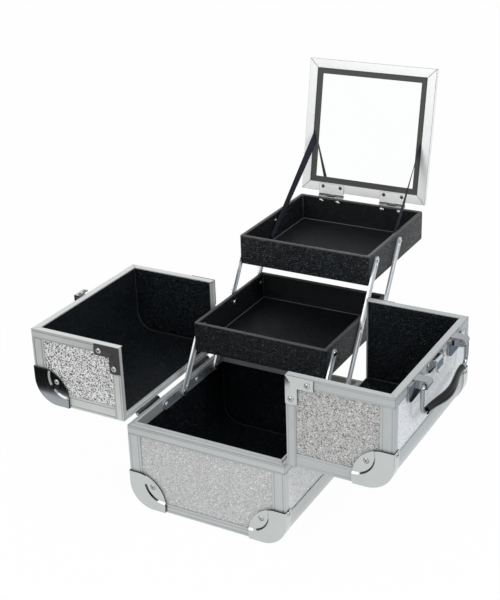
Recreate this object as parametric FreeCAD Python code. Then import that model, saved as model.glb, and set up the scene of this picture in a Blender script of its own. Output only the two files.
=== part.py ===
"""Makeup train case with two side-opening lids, cantilever trays and a tilting mirror.

The case stands open: both lids hang out level from hinges on the base's rim, two trays stand
raised on three pairs of parallel arms, and the mirror leans back from the upper tray.
Millimetres, +X to the right, +Y to the back, +Z up, origin under the middle of the base.
"""
import FreeCAD
import Part
import math
import os

V = FreeCAD.Vector

# Case
case_width = 200.0
case_depth = 209.0
base_height = 104.0
lid_height = 121.0
left_lid_width = 92.0
seam_gap = 1.0
edge_radius = 30.0
edge_flange = 10.0

# Wall build-up, from the outside in
trim = 1.0
channel_play = 0.1
board = 5.0
lining = 1.0

# Rim channels and edge strips
rim_band = 11.5
rim_web = 3.0
seam_web = 1.6
mitre_gap = 0.1
bead_groove = 0.9
bead_depth = 0.4
rim_bead_top = 2.4
rim_bead_low = 1.4
tongue_width = 2.5
tongue_rise = 2.0
tongue_clearance = 0.25
post_face = 16.0
foot_strip_face = 11.0
strip_wrap = 8.0
strip_bead = 3.0

# Corner protectors
protector_reach = 45.0
protector_leg = 15.0
protector_bulge = 11.6
protector_wrap = 11.0
protector_sheet = 1.0
protector_face = 2.6
protector_edge = 1.5
flap_radius = 24.6
flap_slope = 1.9
flap_centre_across = 44.0
flap_centre_up = 36.0
flap_screw = 30.0
wrap_screw_inset = 4.0

# Seam brackets on the lids' free corners
bracket_leg = 33.0
bracket_width = 14.0
bracket_edge = 0.8
bracket_ridge = 2.4
bracket_rivet_reach = 26.0

# Screws and rivets
screw_radius = 3.0
screw_rise = 1.2
rivet_head_radius = 3.6
rivet_head_rise = 1.2
rivet_shank_radius = 2.0
head_crown = 0.55

# Lid hinges
hinge_offset = 3.0
hinge_place = 57.0
hinge_length = 44.0
hinge_leaf = 1.2
hinge_leaf_width = 16.0
hinge_knuckle_radius = 2.6
hinge_pin_radius = 1.2
knuckle_count = 3
knuckle_gap = 0.4
knuckle_room = 0.8
running_clearance = 0.05

# Tray linkage
pivot_front = -1.0
pivot_spacing = 74.0
rear_spacing = 69.0
pivot_drop_base = 6.0
arm_length = 82.0
arm_lean = 32.5
arm_width = 9.6
arm_thickness = 2.2
arm_pocket = 0.9
arm_rim = 1.3
arm_pocket_inset = 9.0
arm_side_gap = 0.4
tray_bracket_height = 12.5
tray_bracket_sheet = 1.6
tray_bracket_front = -43.0
tray_bracket_bead = 0.5
tray_bracket_bead_width = 1.4
bracket_rivet_places = (-36.0, 32.0)
stop_tab_width = 6.0
stop_tab_sheet = 1.6
stop_tab_gap = 0.3
stop_tab_along = 13.0

# Trays
tray_width = 174.0
tray_depth = 169.4
tray_height = 37.5
tray_wall = 4.5
tray_floor = 4.0
tray_corner = 2.5
tray_lip = 1.2
tray_front_to_pivot = 17.4
tray_pivot_drop = 11.0
tray_stack_gap = 1.5

# Mirror
mirror_width = 175.0
mirror_height = 172.0
mirror_tilt = 10.5
mirror_rise = 5.2
mirror_lift = 1.5
frame_band = 11.5
frame_depth = 7.0
frame_web = 2.0
frame_lip = 1.0
border_show = 7.2
border_sheet = 1.0
glass_sheet = 2.0
mirror_hinge_place = 43.5
mirror_hinge_length = 35.5
mirror_leaf = 1.0
mirror_leaf_up = 10.5
mirror_leaf_down = 12.0
mirror_knuckle_radius = 2.2
mirror_knuckle_gap = 0.4
mirror_pin_radius = 1.0
mirror_rivet_spread = 12.0
mirror_rivet_drop = 5.3
small_rivet_radius = 2.4
small_rivet_rise = 0.9
small_shank_radius = 1.3

# Straps that hold the mirror
strap_width = 10.0
strap_sheet = 0.8
strap_seat_gap = 0.2
strap_wall_gap = 0.8
strap_foot_from_front = 72.3
strap_foot_drop = 29.0
strap_lay = 34.0
strap_head_across = 73.0
strap_head_up = 71.0
strap_turn = 28.0
strap_sections = 4

# Carrying handle
handle_plate_width = 36.0
handle_plate_height = 20.0
handle_plate_sheet = 2.4
handle_plate_corner = 8.0
handle_plate_place = 56.0
handle_plate_drop = 1.5
handle_pivot_stand = 13.6
handle_pivot_drop = 4.5
handle_block_place = 53.0
handle_block_width = 14.0
handle_block_radius = 4.6
handle_block_gap = 0.6
bail_radius = 2.2
bail_depth = 32.0
bail_corner = 12.0
bail_shoulder = 4.0
bail_tang = 10.0
grip_clear = 0.6
grip_end_tall = 4.4
grip_middle_tall = 6.8
grip_end_thick = 3.4
grip_middle_thick = 4.2
grip_bow = 6.0
grip_sag = 2.0
grip_sections = 9

# Latch
latch_sheet = 1.6
latch_ear_radius = 7.0
latch_ear_place = 15.0
latch_drop = 6.5
latch_lug_width = 2.0
latch_lug_radius = 2.6
latch_lever_width = 17.0
latch_lever_length = 11.0
latch_lever_sheet = 2.2
latch_pin_radius = 1.0
latch_gap = 0.4
keeper_width = 20.0
keeper_sheet = 1.8
keeper_stand = 8.5
keeper_overhang = 2.0
keeper_flange = 6.5
keeper_seat = 10.5
keeper_arm_drop = 6.0
keeper_slot_width = 5.0
keeper_slot_depth = 2.0
keeper_slot_place = 4.5

# Places that follow from the sizes above
half_width = case_width / 2
half_depth = case_depth / 2
front = -half_depth
right_lid_width = case_width - seam_gap - left_lid_width
board_outside = trim + channel_play
board_inside = board_outside + board
lining_inside = board_inside + lining
rim_width = lining_inside + channel_play + trim
board_drop = rim_web + channel_play
seam_drop = seam_web + channel_play
flange_end = edge_radius + edge_flange
hinge_x = half_width + hinge_offset
lid_outer = hinge_x + lid_height
lid_under = base_height + hinge_offset
half_tray = tray_width / 2
arm_inner = half_tray + arm_side_gap
arm_outer = arm_inner + arm_thickness
rim_inner = half_width - rim_width
tray_bracket_inner = rim_inner - tray_bracket_sheet
base_pivot_z = base_height - pivot_drop_base
lean = math.radians(arm_lean)
arm_back = arm_length * math.sin(lean)
arm_up = arm_length * math.cos(lean)
fold_lean = math.acos((tray_height + tray_stack_gap) / arm_length)
upper_front_to_pivot = tray_front_to_pivot + pivot_spacing - arm_length * math.sin(fold_lean)
lower_pivot_y = pivot_front + arm_back
lower_pivot_z = base_pivot_z + arm_up
rear_pivot_y = lower_pivot_y + pivot_spacing + rear_spacing
upper_pivot_y = pivot_front + pivot_spacing + 2 * arm_back
upper_pivot_z = base_pivot_z + 2 * arm_up
lower_tray_front = lower_pivot_y - tray_front_to_pivot
upper_tray_front = upper_pivot_y - upper_front_to_pivot
lower_tray_top = lower_pivot_z + tray_pivot_drop
upper_tray_top = upper_pivot_z + tray_pivot_drop
mirror_axis_y = upper_tray_front + tray_depth + mirror_knuckle_radius + mirror_knuckle_gap
mirror_axis_z = upper_tray_top + mirror_lift
x_axis = V(1, 0, 0)
y_axis = V(0, 1, 0)
z_axis = V(0, 0, 1)
origin = V(0, 0, 0)
far = 2000.0
cut_margin = 1.0
touch = 0.001


def box(x_low, x_high, y_low, y_high, z_low, z_high):
    """Block between two corners."""
    return Part.makeBox(x_high - x_low, y_high - y_low, z_high - z_low, V(x_low, y_low, z_low))


def prism(points, run):
    """Straight-sided outline pushed along a vector."""
    return Part.Face(Part.makePolygon(points + points[:1])).extrude(run)


def outline_prism(edges, run):
    """Outline of lines and arcs pushed along a vector."""
    return Part.Face(Part.Wire([edge.toShape() for edge in edges])).extrude(run)


def rod(radius, start, end):
    """Round bar from one point to another."""
    return Part.makeCylinder(radius, (end - start).Length, start, end - start)


def dome(radius, rise, seat, direction):
    """Low rounded fastener head standing on a seat."""
    return Part.makeCone(radius, radius * head_crown, rise, seat, direction)


def beyond(point, normal):
    """Everything on the normal's side of a plane."""
    block = box(-far, far, -far, far, 0, far)
    block.Placement = FreeCAD.Placement(point, FreeCAD.Rotation(z_axis, normal))
    return block


def flip_x(shape):
    """The same piece on the other side."""
    return shape.mirror(origin, x_axis)


def flip_y(shape):
    """The same piece at the other end."""
    return shape.mirror(origin, y_axis)


def moved(shape, place):
    """Copy of a piece shifted to its place."""
    copy = shape.copy()
    copy.translate(place)
    return copy


def front_and_back(shapes):
    """Pieces at the front with their twins at the back."""
    return shapes + [flip_y(shape) for shape in shapes]


def left_and_right(shapes):
    """Pieces on the left with their twins on the right."""
    return shapes + [flip_x(shape) for shape in shapes]


def rounded_block(x_low, x_high, y_low, y_high, z_low, z_high, radius, both=False):
    """Block whose lower left long edge, or both lower long edges, are rounded."""
    slack = radius * (1 - math.sqrt(0.5))
    start = V(x_low, y_low, z_low + radius)
    turn = V(x_low + radius, y_low, z_low)
    edges = [
        Part.LineSegment(V(x_low, y_low, z_high), start),
        Part.Arc(start, V(x_low + slack, y_low, z_low + slack), turn),
    ]
    last = V(x_high, y_low, z_low)
    if both:
        last = V(x_high, y_low, z_low + radius)
        other = V(x_high - radius, y_low, z_low)
        edges.append(Part.LineSegment(turn, other))
        edges.append(Part.Arc(other, V(x_high - slack, y_low, z_low + slack), last))
    else:
        edges.append(Part.LineSegment(turn, last))
    edges.append(Part.LineSegment(last, V(x_high, y_low, z_high)))
    edges.append(Part.LineSegment(V(x_high, y_low, z_high), V(x_low, y_low, z_high)))
    return outline_prism(edges, V(0, y_high - y_low, 0))


def curved_edge():
    """Rolled quarter-round strip along a long edge whose corner is at x = 0, z = 0."""
    ends = half_depth - trim
    outer = rounded_block(0, flange_end, -ends, ends, 0, flange_end, edge_radius)
    inner = rounded_block(trim, far, -far, far, trim, far, edge_radius - trim)
    return outer.cut(inner)


def protector_outline():
    """Front outline of a corner protector, pushed forwards from the case's front face."""
    low = -2 * protector_face
    top = V(protector_leg, front, protector_reach)
    foot = V(protector_reach, front, 0)
    middle = (top + foot) * 0.5
    out = V(protector_reach, 0, protector_reach - protector_leg)
    crest = middle + out * (protector_bulge / out.Length)
    edges = [
        Part.LineSegment(V(low, front, low), V(low, front, protector_reach)),
        Part.LineSegment(V(low, front, protector_reach), top),
        Part.Arc(top, crest, foot),
        Part.LineSegment(foot, V(protector_reach, front, low)),
        Part.LineSegment(V(protector_reach, front, low), V(low, front, low)),
    ]
    return outline_prism(edges, V(0, -2 * protector_face, 0))


def corner_protector():
    """Stamped corner with a sunk screw flap, round the corner at x = 0, z = 0 of the front face."""
    face = front - protector_face
    reach = 2 * protector_reach
    outside = edge_radius + protector_sheet
    outer = rounded_block(-protector_sheet, reach, face, 0, -protector_sheet, reach, outside)
    rim_edges = [edge for edge in outer.Edges if on_front_rim(edge, face, reach)]
    outer = outer.makeFillet(protector_edge, rim_edges)
    inner = rounded_block(0, far, front, far, 0, far, edge_radius)
    shell = outer.cut(inner)
    plate = shell.common(protector_outline())
    centre = V(flap_centre_across, front - protector_sheet, flap_centre_up)
    widening = flap_slope * protector_face / (protector_face - protector_sheet)
    floor_radius = flap_radius - flap_slope
    plate = plate.cut(Part.makeCone(floor_radius, floor_radius + widening, protector_face, centre, -y_axis))
    wrap = box(-far, protector_reach, front, front + protector_wrap, -far, protector_reach)
    return plate.fuse(shell.common(wrap)).removeSplitter()


def on_front_rim(edge, face, reach):
    """Whether an edge runs along the corner's outer border on the front plane."""
    bounds = edge.BoundBox
    flat = abs(bounds.YMin - face) < touch and abs(bounds.YMax - face) < touch
    outside = min(bounds.XMin, bounds.ZMin) < -protector_sheet / 2
    at_far_end = max(bounds.XMin, bounds.ZMin) > reach - touch
    return flat and outside and not at_far_end


def protector_screws():
    """Screw heads in the flap and on the wrapped strip of a corner protector."""
    flap = V(flap_screw, front - protector_sheet, flap_screw)
    side = V(-protector_sheet, front + protector_wrap / 2, protector_reach - wrap_screw_inset)
    return [dome(screw_radius, screw_rise, flap, -y_axis), dome(screw_radius, screw_rise, side, -x_axis)]


def edge_strip(start, end, across, along_face, wrap_dir):
    """L-section strip over an edge: a wide leg on the front face and a short leg round the corner."""
    inward = y_axis
    points = [start]
    for place in (strip_bead, across - strip_bead):
        points += [start + along_face * along + inward * deep for along, deep in bead(place)]
    points += [
        start + along_face * across,
        start + along_face * across + inward * trim,
        start + along_face * trim + inward * trim,
        start + wrap_dir * trim + inward * strip_wrap,
        start + inward * strip_wrap,
    ]
    return prism(points, end - start)


def bead(place):
    """Shallow groove across a face, as distances along the face and into it."""
    half = bead_groove / 2
    return [(place - half, 0), (place, bead_depth), (place + half, 0)]


def rim_face():
    """Outer face of a rim from its lower edge up, as distances inward and down."""
    face = [(0, rim_band)]
    for place in (rim_band - rim_bead_low, rim_bead_top):
        face += [(deep, along) for along, deep in reversed(bead(place))]
    return face + [(0, bead_depth), (bead_depth, 0)]


def base_profile():
    """Channel section of the base's rim, with the tongue at its inner edge."""
    shoulder = rim_width - tongue_width
    slot = rim_width - trim
    top = [(shoulder, 0), (shoulder, -tongue_rise), (rim_width, -tongue_rise)]
    legs = [(rim_width, rim_band), (slot, rim_band), (slot, rim_web), (trim, rim_web), (trim, rim_band)]
    return rim_face() + top + legs


def mouth_profile():
    """Angle section of a lid's mouth rim, relieved at its inner edge for the base's tongue."""
    shoulder = rim_width - tongue_width - tongue_clearance
    depth = tongue_rise + tongue_clearance
    top = [(shoulder, 0), (shoulder, depth), (rim_width, depth)]
    return rim_face() + top + [(rim_width, rim_web), (trim, rim_web), (trim, rim_band)]


def seam_profile():
    """Angle section of a lid's seam rim."""
    return rim_face() + [(rim_width, 0), (rim_width, seam_web), (trim, seam_web), (trim, rim_band)]


def mitred(bar, mitres):
    """A bar with its ends cut to their mitres, each short of the joint by half a gap."""
    for corner, normal in mitres:
        bar = bar.cut(beyond(corner - normal * (mitre_gap / 2 / normal.Length), normal))
    return bar


def rim_bar(start, end, inward, down, profile, mitres):
    """One mitred bar of a rim, along its outer edge from start to end."""
    points = [start + inward * across + down * depth for across, depth in profile]
    return mitred(prism(points, end - start), mitres)


def base_rim():
    """Four mitred bars round the mouth of the base, with the tongue that the lids close over."""
    profile = base_profile()
    near_left = V(-half_width, front, base_height)
    near_right = V(half_width, front, base_height)
    far_left = V(-half_width, -front, base_height)
    front_mitres = [(near_left, V(-1, 1, 0)), (near_right, V(1, 1, 0))]
    side_mitres = [(near_left, V(1, -1, 0)), (far_left, V(1, 1, 0))]
    front_bar = rim_bar(near_left, near_right, y_axis, -z_axis, profile, front_mitres)
    side_bar = rim_bar(near_left, far_left, x_axis, -z_axis, profile, side_mitres)
    return [front_bar, flip_y(front_bar), side_bar, flip_x(side_bar)]


def knuckles(axis_start, length, radius, pin_radius, own):
    """Barrels of one leaf along +Y or +X, and the room for the other leaf's barrels."""
    run = axis_start[1]
    point = axis_start[0]
    pitch = length / knuckle_count
    barrels = []
    rooms = []
    for index in range(knuckle_count):
        low = point + run * (index * pitch)
        high = point + run * ((index + 1) * pitch)
        inset = run * (knuckle_gap / 2)
        if index % 2 == own:
            barrels.append(rod(radius, low + inset, high - inset))
        else:
            rooms.append(rod(radius + knuckle_room, low - inset, high + inset))
    bore = rod(pin_radius + running_clearance, point, point + run * length)
    return barrels, rooms, bore


def hinge_half(plate, axis, length, radius, pin_radius, own):
    """One leaf of a hinge with its barrels, cleared for the other leaf and bored for the pin."""
    barrels, rooms, bore = knuckles(axis, length, radius, pin_radius, own)
    leaf = plate
    for room in rooms:
        leaf = leaf.cut(room)
    for barrel in barrels:
        leaf = leaf.fuse(barrel)
    return leaf.cut(bore).removeSplitter()


def base_hinge_leaf(place):
    """Leaf on the base's left side, ending in the outer barrels."""
    low = place - hinge_length / 2
    axis = (V(-hinge_x, low, base_height), y_axis)
    plate = box(
        -half_width - hinge_leaf, -half_width, low, low + hinge_length,
        base_height - hinge_leaf_width, base_height,
    )
    return hinge_half(plate, axis, hinge_length, hinge_knuckle_radius, hinge_pin_radius, 0)


def lid_hinge_leaf(place):
    """Leaf under the open lid, ending in the middle barrel, with the lid's corner at x = 0, z = 0."""
    low = place - hinge_length / 2
    axis = (V(lid_height, low, -hinge_offset), y_axis)
    plate = box(lid_height - hinge_leaf_width, lid_height, low, low + hinge_length, -hinge_leaf, 0)
    return hinge_half(plate, axis, hinge_length, hinge_knuckle_radius, hinge_pin_radius, 1)


def hinge_pin(place):
    """Pin of a lid hinge."""
    low = place - hinge_length / 2
    start = V(-hinge_x, low, base_height)
    return rod(hinge_pin_radius, start, start + y_axis * hinge_length)


def tray_bracket():
    """Slim plate with beaded borders on the base's right inner wall, with stop tabs for the arms."""
    half = tray_bracket_height / 2
    back = pivot_front + pivot_spacing
    plate = stadium(tray_bracket_inner, rim_inner, tray_bracket_front + half, back, base_pivot_z, half)
    inset = half - tray_bracket_bead_width
    floor = tray_bracket_inner + tray_bracket_bead
    pocket = stadium(
        tray_bracket_inner - cut_margin, floor, tray_bracket_front + half, back, base_pivot_z, inset
    )
    bosses = [
        rod(arm_width / 2, V(tray_bracket_inner, y, base_pivot_z), V(floor, y, base_pivot_z))
        for y in (pivot_front, back)
    ]
    plate = plate.cut(pocket)
    for boss in bosses:
        plate = plate.fuse(boss)
    plate = plate.fuse(stop_tab(pivot_front))
    for y in (pivot_front, back):
        hole = rod(rivet_shank_radius, V(half_width - far, y, base_pivot_z), V(far, y, base_pivot_z))
        plate = plate.cut(hole)
    return plate.removeSplitter()


def stop_tab(pivot_y):
    """Tab bent across behind an arm, which stops the arm at its raised lean."""
    aside = arm_width / 2 + stop_tab_gap
    tab = box(
        arm_inner, tray_bracket_inner + tray_bracket_sheet,
        aside, aside + stop_tab_sheet,
        stop_tab_along - stop_tab_width / 2, stop_tab_along + stop_tab_width / 2,
    )
    stem = box(
        tray_bracket_inner, rim_inner, aside, aside + stop_tab_sheet,
        0, stop_tab_along + stop_tab_width / 2,
    )
    tab = tab.fuse(stem)
    tab.rotate(origin, x_axis, -arm_lean)
    return moved(tab, V(0, pivot_y, base_pivot_z))


def stadium(x_low, x_high, y_start, y_end, z, radius):
    """Flat bar with round ends, along Y."""
    low = V(x_low, y_start, z - radius)
    edges = [
        Part.LineSegment(low, V(x_low, y_end, z - radius)),
        Part.Arc(V(x_low, y_end, z - radius), V(x_low, y_end + radius, z), V(x_low, y_end, z + radius)),
        Part.LineSegment(V(x_low, y_end, z + radius), V(x_low, y_start, z + radius)),
        Part.Arc(V(x_low, y_start, z + radius), V(x_low, y_start - radius, z), low),
    ]
    return outline_prism(edges, V(x_high - x_low, 0, 0))


def bracket_rivets():
    """Rivets of the right tray bracket: the arms' pivots and the two that hold the bracket."""
    rivets = []
    for y in (pivot_front, pivot_front + pivot_spacing):
        outer = V(rim_inner, y, base_pivot_z)
        inner = V(arm_inner - knuckle_gap, y, base_pivot_z)
        shank = rod(rivet_shank_radius, inner, outer)
        rivets.append(shank.fuse(dome(rivet_head_radius, rivet_head_rise, inner, -x_axis)))
    seat = tray_bracket_inner + tray_bracket_bead
    for y in bracket_rivet_places:
        rivets.append(dome(small_rivet_radius, small_rivet_rise, V(seat, y, base_pivot_z), -x_axis))
    return rivets


def base_pieces():
    """The base: boards, aluminium edges, lining, corners, hinge leaves and tray brackets."""
    board_ends = half_depth - board_inside
    top = base_height - board_drop
    half_inside = half_width - board_inside
    half_outside = half_width - board_outside
    end_panel = rounded_block(
        -half_outside, half_outside, front + board_outside, front + board_inside,
        board_outside, top, edge_radius - board_outside, True,
    )
    side_panel = box(-half_outside, -half_inside, -board_ends, board_ends, edge_radius, top)
    half_bottom = half_width - edge_radius
    half_pad = half_width - flange_end
    pad_ends = half_depth - strip_wrap
    bottom = box(-half_bottom, half_bottom, -board_ends, board_ends, board_outside, board_inside)
    pad = box(-half_pad, half_pad, -pad_ends, pad_ends, 0, board_outside)
    bottom = bottom.fuse(pad).removeSplitter()
    lining_block = rounded_block(
        -half_inside, half_inside, -board_ends, board_ends,
        board_inside, top, edge_radius - board_inside, True,
    )
    hollow = rounded_block(
        -half_inside + lining, half_inside - lining, -board_ends + lining, board_ends - lining,
        lining_inside, far, edge_radius - lining_inside, True,
    )
    left = V(-half_width, 0, 0)
    post = edge_strip(
        V(-half_width, front, flange_end), V(-half_width, front, base_height - rim_band),
        post_face, x_axis, x_axis,
    )
    foot_strip = edge_strip(
        V(-half_pad, front, 0), V(half_pad, front, 0), foot_strip_face, z_axis, z_axis
    )
    protector = moved(corner_protector().cut(beyond(origin, -z_axis)), left)
    screws = [moved(screw, left) for screw in protector_screws()]
    places = (-hinge_place, hinge_place)
    return {
        "base_end_panels": front_and_back([end_panel]),
        "base_side_panels": left_and_right([side_panel]),
        "base_bottom_panel": [bottom],
        "base_curved_edges": left_and_right([moved(curved_edge(), left)]),
        "base_top_rim": base_rim(),
        "base_edge_strips": left_and_right(front_and_back([post])) + front_and_back([foot_strip]),
        "base_lining": [lining_block.cut(hollow)],
        "base_corner_protectors": left_and_right(front_and_back([protector])),
        "base_corner_screws": left_and_right(front_and_back(screws)),
        "base_hinge_leaves": left_and_right([base_hinge_leaf(place) for place in places]),
        "lid_hinge_pins": left_and_right([hinge_pin(place) for place in places]),
        "tray_brackets": left_and_right([tray_bracket()]),
        "bracket_rivets": left_and_right(bracket_rivets()),
    }


def seam_bracket(rise):
    """Ridged L on the front of a lid's free corner, with the lid's own corner at x = 0, z = 0."""
    corner = V(lid_height, front, rise)
    profile = [
        (0, 0), (bracket_width, 0), (bracket_width, bracket_edge),
        (bracket_width / 2, bracket_ridge), (0, bracket_edge),
    ]
    along = [corner - z_axis * across - y_axis * out for across, out in profile]
    down = [corner - x_axis * across - y_axis * out for across, out in profile]
    seam_leg = prism(along, V(-bracket_leg, 0, 0)).cut(beyond(corner, V(1, 0, -1)))
    rim_leg = prism(down, V(0, 0, -bracket_leg)).cut(beyond(corner, V(-1, 0, 1)))
    return seam_leg.fuse(rim_leg).removeSplitter()


def seam_bracket_rivets(rise):
    """Two domed rivets on the ridge of a seam bracket."""
    middle = bracket_width / 2
    face = front - bracket_ridge
    along = V(lid_height - bracket_rivet_reach, face, rise - middle)
    down = V(lid_height - middle, face, rise - bracket_rivet_reach)
    return [dome(screw_radius, screw_rise, seat, -y_axis) for seat in (along, down)]


def lid_rims(rise):
    """Mitred rim bars round the lid's mouth and along its seam, with the lid's corner at the origin."""
    grooved = mouth_profile()
    plain = seam_profile()
    hinge_corner = V(lid_height, front, 0)
    free_corner = V(lid_height, front, rise)
    outer_corner = V(0, front, rise)
    mouth_leg = rim_bar(
        hinge_corner, free_corner, y_axis, -x_axis, grooved,
        [(hinge_corner, V(0, 1, -1)), (free_corner, V(-1, 0, 1))],
    )
    mouth_bar = rim_bar(
        hinge_corner, flipped(hinge_corner), z_axis, -x_axis, grooved,
        [(hinge_corner, V(0, -1, 1)), (flipped(hinge_corner), V(0, 1, 1))],
    )
    seam_leg = rim_bar(
        outer_corner, free_corner, y_axis, -z_axis, plain,
        [(outer_corner, V(-1, 1, 0)), (free_corner, V(1, 0, -1))],
    )
    seam_bar = rim_bar(
        outer_corner, flipped(outer_corner), x_axis, -z_axis, plain,
        [(outer_corner, V(1, -1, 0)), (flipped(outer_corner), V(1, 1, 0))],
    )
    return front_and_back([mouth_leg]) + [mouth_bar], front_and_back([seam_leg]) + [seam_bar]


def flipped(point):
    """A point's twin at the other end of the case."""
    return V(point.x, -point.y, point.z)


def lid_pieces(rise):
    """A lid lying open to the left, with its rounded lower outer corner at x = 0, z = 0."""
    board_ends = half_depth - board_inside
    mouth = lid_height - board_drop
    seam = rise - seam_drop
    end_panel = rounded_block(
        board_outside, mouth, front + board_outside, front + board_inside,
        board_outside, seam, edge_radius - board_outside,
    )
    side_panel = box(edge_radius, mouth, -board_ends, board_ends, board_outside, board_inside)
    top_panel = box(board_outside, board_inside, -board_ends, board_ends, edge_radius, seam)
    lining_block = rounded_block(
        board_inside, mouth, -board_ends, board_ends, board_inside, seam, edge_radius - board_inside
    )
    hollow = rounded_block(
        lining_inside, far, -board_ends + lining, board_ends - lining,
        lining_inside, far, edge_radius - lining_inside,
    )
    under_strip = edge_strip(
        V(flange_end, front, 0), V(lid_height - rim_band, front, 0), post_face, z_axis, z_axis
    )
    outer_strip = edge_strip(
        V(0, front, flange_end), V(0, front, rise - rim_band), post_face, x_axis, x_axis
    )
    mouth_rim, seam_rim = lid_rims(rise)
    places = (-hinge_place, hinge_place)
    return {
        "end_panels": front_and_back([end_panel]),
        "side_panel": [side_panel],
        "top_panel": [top_panel],
        "curved_edge": [curved_edge()],
        "mouth_rim": mouth_rim,
        "seam_rim": seam_rim,
        "edge_strips": front_and_back([under_strip, outer_strip]),
        "lining": [lining_block.cut(hollow)],
        "corner_protectors": front_and_back([corner_protector()]),
        "seam_brackets": front_and_back([seam_bracket(rise)]),
        "fasteners": front_and_back(protector_screws() + seam_bracket_rivets(rise)),
        "hinge_leaves": [lid_hinge_leaf(place) for place in places],
    }


def placed_lid(rise, side):
    """A lid's pieces in their open place, named for their side."""
    place = V(-lid_outer, 0, lid_under)
    pieces = {}
    for name, shapes in lid_pieces(rise).items():
        shapes = [moved(shape, place) for shape in shapes]
        if side == "right":
            shapes = [flip_x(shape) for shape in shapes]
        pieces[side + "_lid_" + name] = shapes
    return pieces


def arm(stages):
    """Stamped right-hand arm over one or two stages, standing upright on its lower pivot."""
    reach = stages * arm_length
    radius = arm_width / 2
    strip = stadium(arm_inner, arm_outer, 0, reach, 0, radius)
    for stage in range(stages):
        start = stage * arm_length + arm_pocket_inset
        end = (stage + 1) * arm_length - arm_pocket_inset
        floor = arm_outer - arm_pocket
        pocket = stadium(floor, arm_outer + cut_margin, start, end, 0, radius - arm_rim)
        strip = strip.cut(pocket)
    for stage in range(stages + 1):
        centre = V(0, stage * arm_length, 0)
        hole = rod(rivet_shank_radius + running_clearance, centre, centre + x_axis * far)
        strip = strip.cut(hole)
    strip.rotate(origin, x_axis, 90 - arm_lean)
    return strip


def arm_pair(stages, pivot_y, pivot_z):
    """An arm on each side, both with their pocket to the right."""
    right = moved(arm(stages), V(0, pivot_y, pivot_z))
    left = moved(right, V(-arm_inner - arm_outer, 0, 0))
    return [left, right]


def tray(front_y, top, pivots):
    """Open tray with softly rounded upright corners, bored for its pivot rivets."""
    low = top - tray_height
    outer = box(-half_tray, half_tray, front_y, front_y + tray_depth, low, top)
    upright = [edge for edge in outer.Edges if edge.BoundBox.ZLength > tray_height / 2]
    outer = outer.makeFillet(tray_corner, upright)
    inner = box(
        -half_tray + tray_wall, half_tray - tray_wall,
        front_y + tray_wall, front_y + tray_depth - tray_wall, low + tray_floor, far,
    )
    body = outer.cut(inner)
    body = body.makeFillet(tray_lip, [edge for edge in body.Edges if edge.BoundBox.ZMin > top - touch])
    for y in pivots:
        level = top - tray_pivot_drop
        body = body.cut(rod(rivet_shank_radius, V(-far, y, level), V(far, y, level)))
    return body


def tray_rivet(y, z):
    """Rivet through the tray's right wall and an arm, with a head at each end."""
    inner = V(half_tray - tray_wall, y, z)
    outer = V(arm_outer + knuckle_gap / 2, y, z)
    shank = rod(rivet_shank_radius, inner, outer)
    inside = dome(rivet_head_radius, rivet_head_rise, inner, -x_axis)
    outside = dome(rivet_head_radius, rivet_head_rise, outer, x_axis)
    return shank.fuse(inside).fuse(outside)


def mirror_rivets():
    """Rivets that hold the mirror's hinges to the upper tray's back wall."""
    outside = upper_tray_front + tray_depth
    inside = outside - tray_wall
    rivets = []
    for x in (mirror_hinge_place - mirror_rivet_spread, mirror_hinge_place + mirror_rivet_spread):
        seat = V(x, inside, upper_tray_top - mirror_rivet_drop)
        shank = rod(small_shank_radius, seat, seat + y_axis * (tray_wall + mirror_leaf))
        head = dome(small_rivet_radius, small_rivet_rise, seat, -y_axis)
        rivets.append(shank.fuse(head))
    return left_and_right(rivets)


def upper_tray():
    """Upper tray, also bored for the mirror hinges' rivets."""
    pivots = (upper_pivot_y, upper_pivot_y + rear_spacing)
    body = tray(upper_tray_front, upper_tray_top, pivots)
    for rivet in mirror_rivets():
        body = body.cut(rivet)
    return body


def tray_pieces():
    """Arms, trays and the rivets they turn on."""
    back_pivot = pivot_front + pivot_spacing
    lower = (lower_pivot_y, lower_pivot_y + pivot_spacing, rear_pivot_y)
    upper = (upper_pivot_y, upper_pivot_y + rear_spacing)
    lower_rivets = [tray_rivet(y, lower_pivot_z) for y in lower]
    upper_rivets = [tray_rivet(y, upper_pivot_z) for y in upper]
    return {
        "front_arms": arm_pair(1, pivot_front, base_pivot_z),
        "long_arms": arm_pair(2, back_pivot, base_pivot_z),
        "rear_arms": arm_pair(1, rear_pivot_y, lower_pivot_z),
        "lower_tray": [tray(lower_tray_front, lower_tray_top, lower)],
        "lower_tray_rivets": left_and_right(lower_rivets),
        "upper_tray": [upper_tray()],
        "upper_tray_rivets": left_and_right(upper_rivets) + mirror_rivets(),
    }


def leaning(shape):
    """A mirror piece, drawn upright with the hinge axis at the origin, set at its lean."""
    copy = shape.copy()
    copy.rotate(origin, x_axis, -mirror_tilt)
    copy.translate(V(0, mirror_axis_y, mirror_axis_z))
    return copy


def frame_bar(start, end, inward, mitres):
    """One mitred channel bar of the mirror frame, front face at y = 0."""
    inside = frame_depth - frame_lip
    profile = [
        (0, 0), (frame_band, 0), (frame_band, frame_lip), (frame_web, frame_lip),
        (frame_web, inside), (frame_band, inside), (frame_band, frame_depth), (0, frame_depth),
    ]
    points = [start + inward * across + y_axis * depth for across, depth in profile]
    return mitred(prism(points, end - start), mitres)


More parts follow.
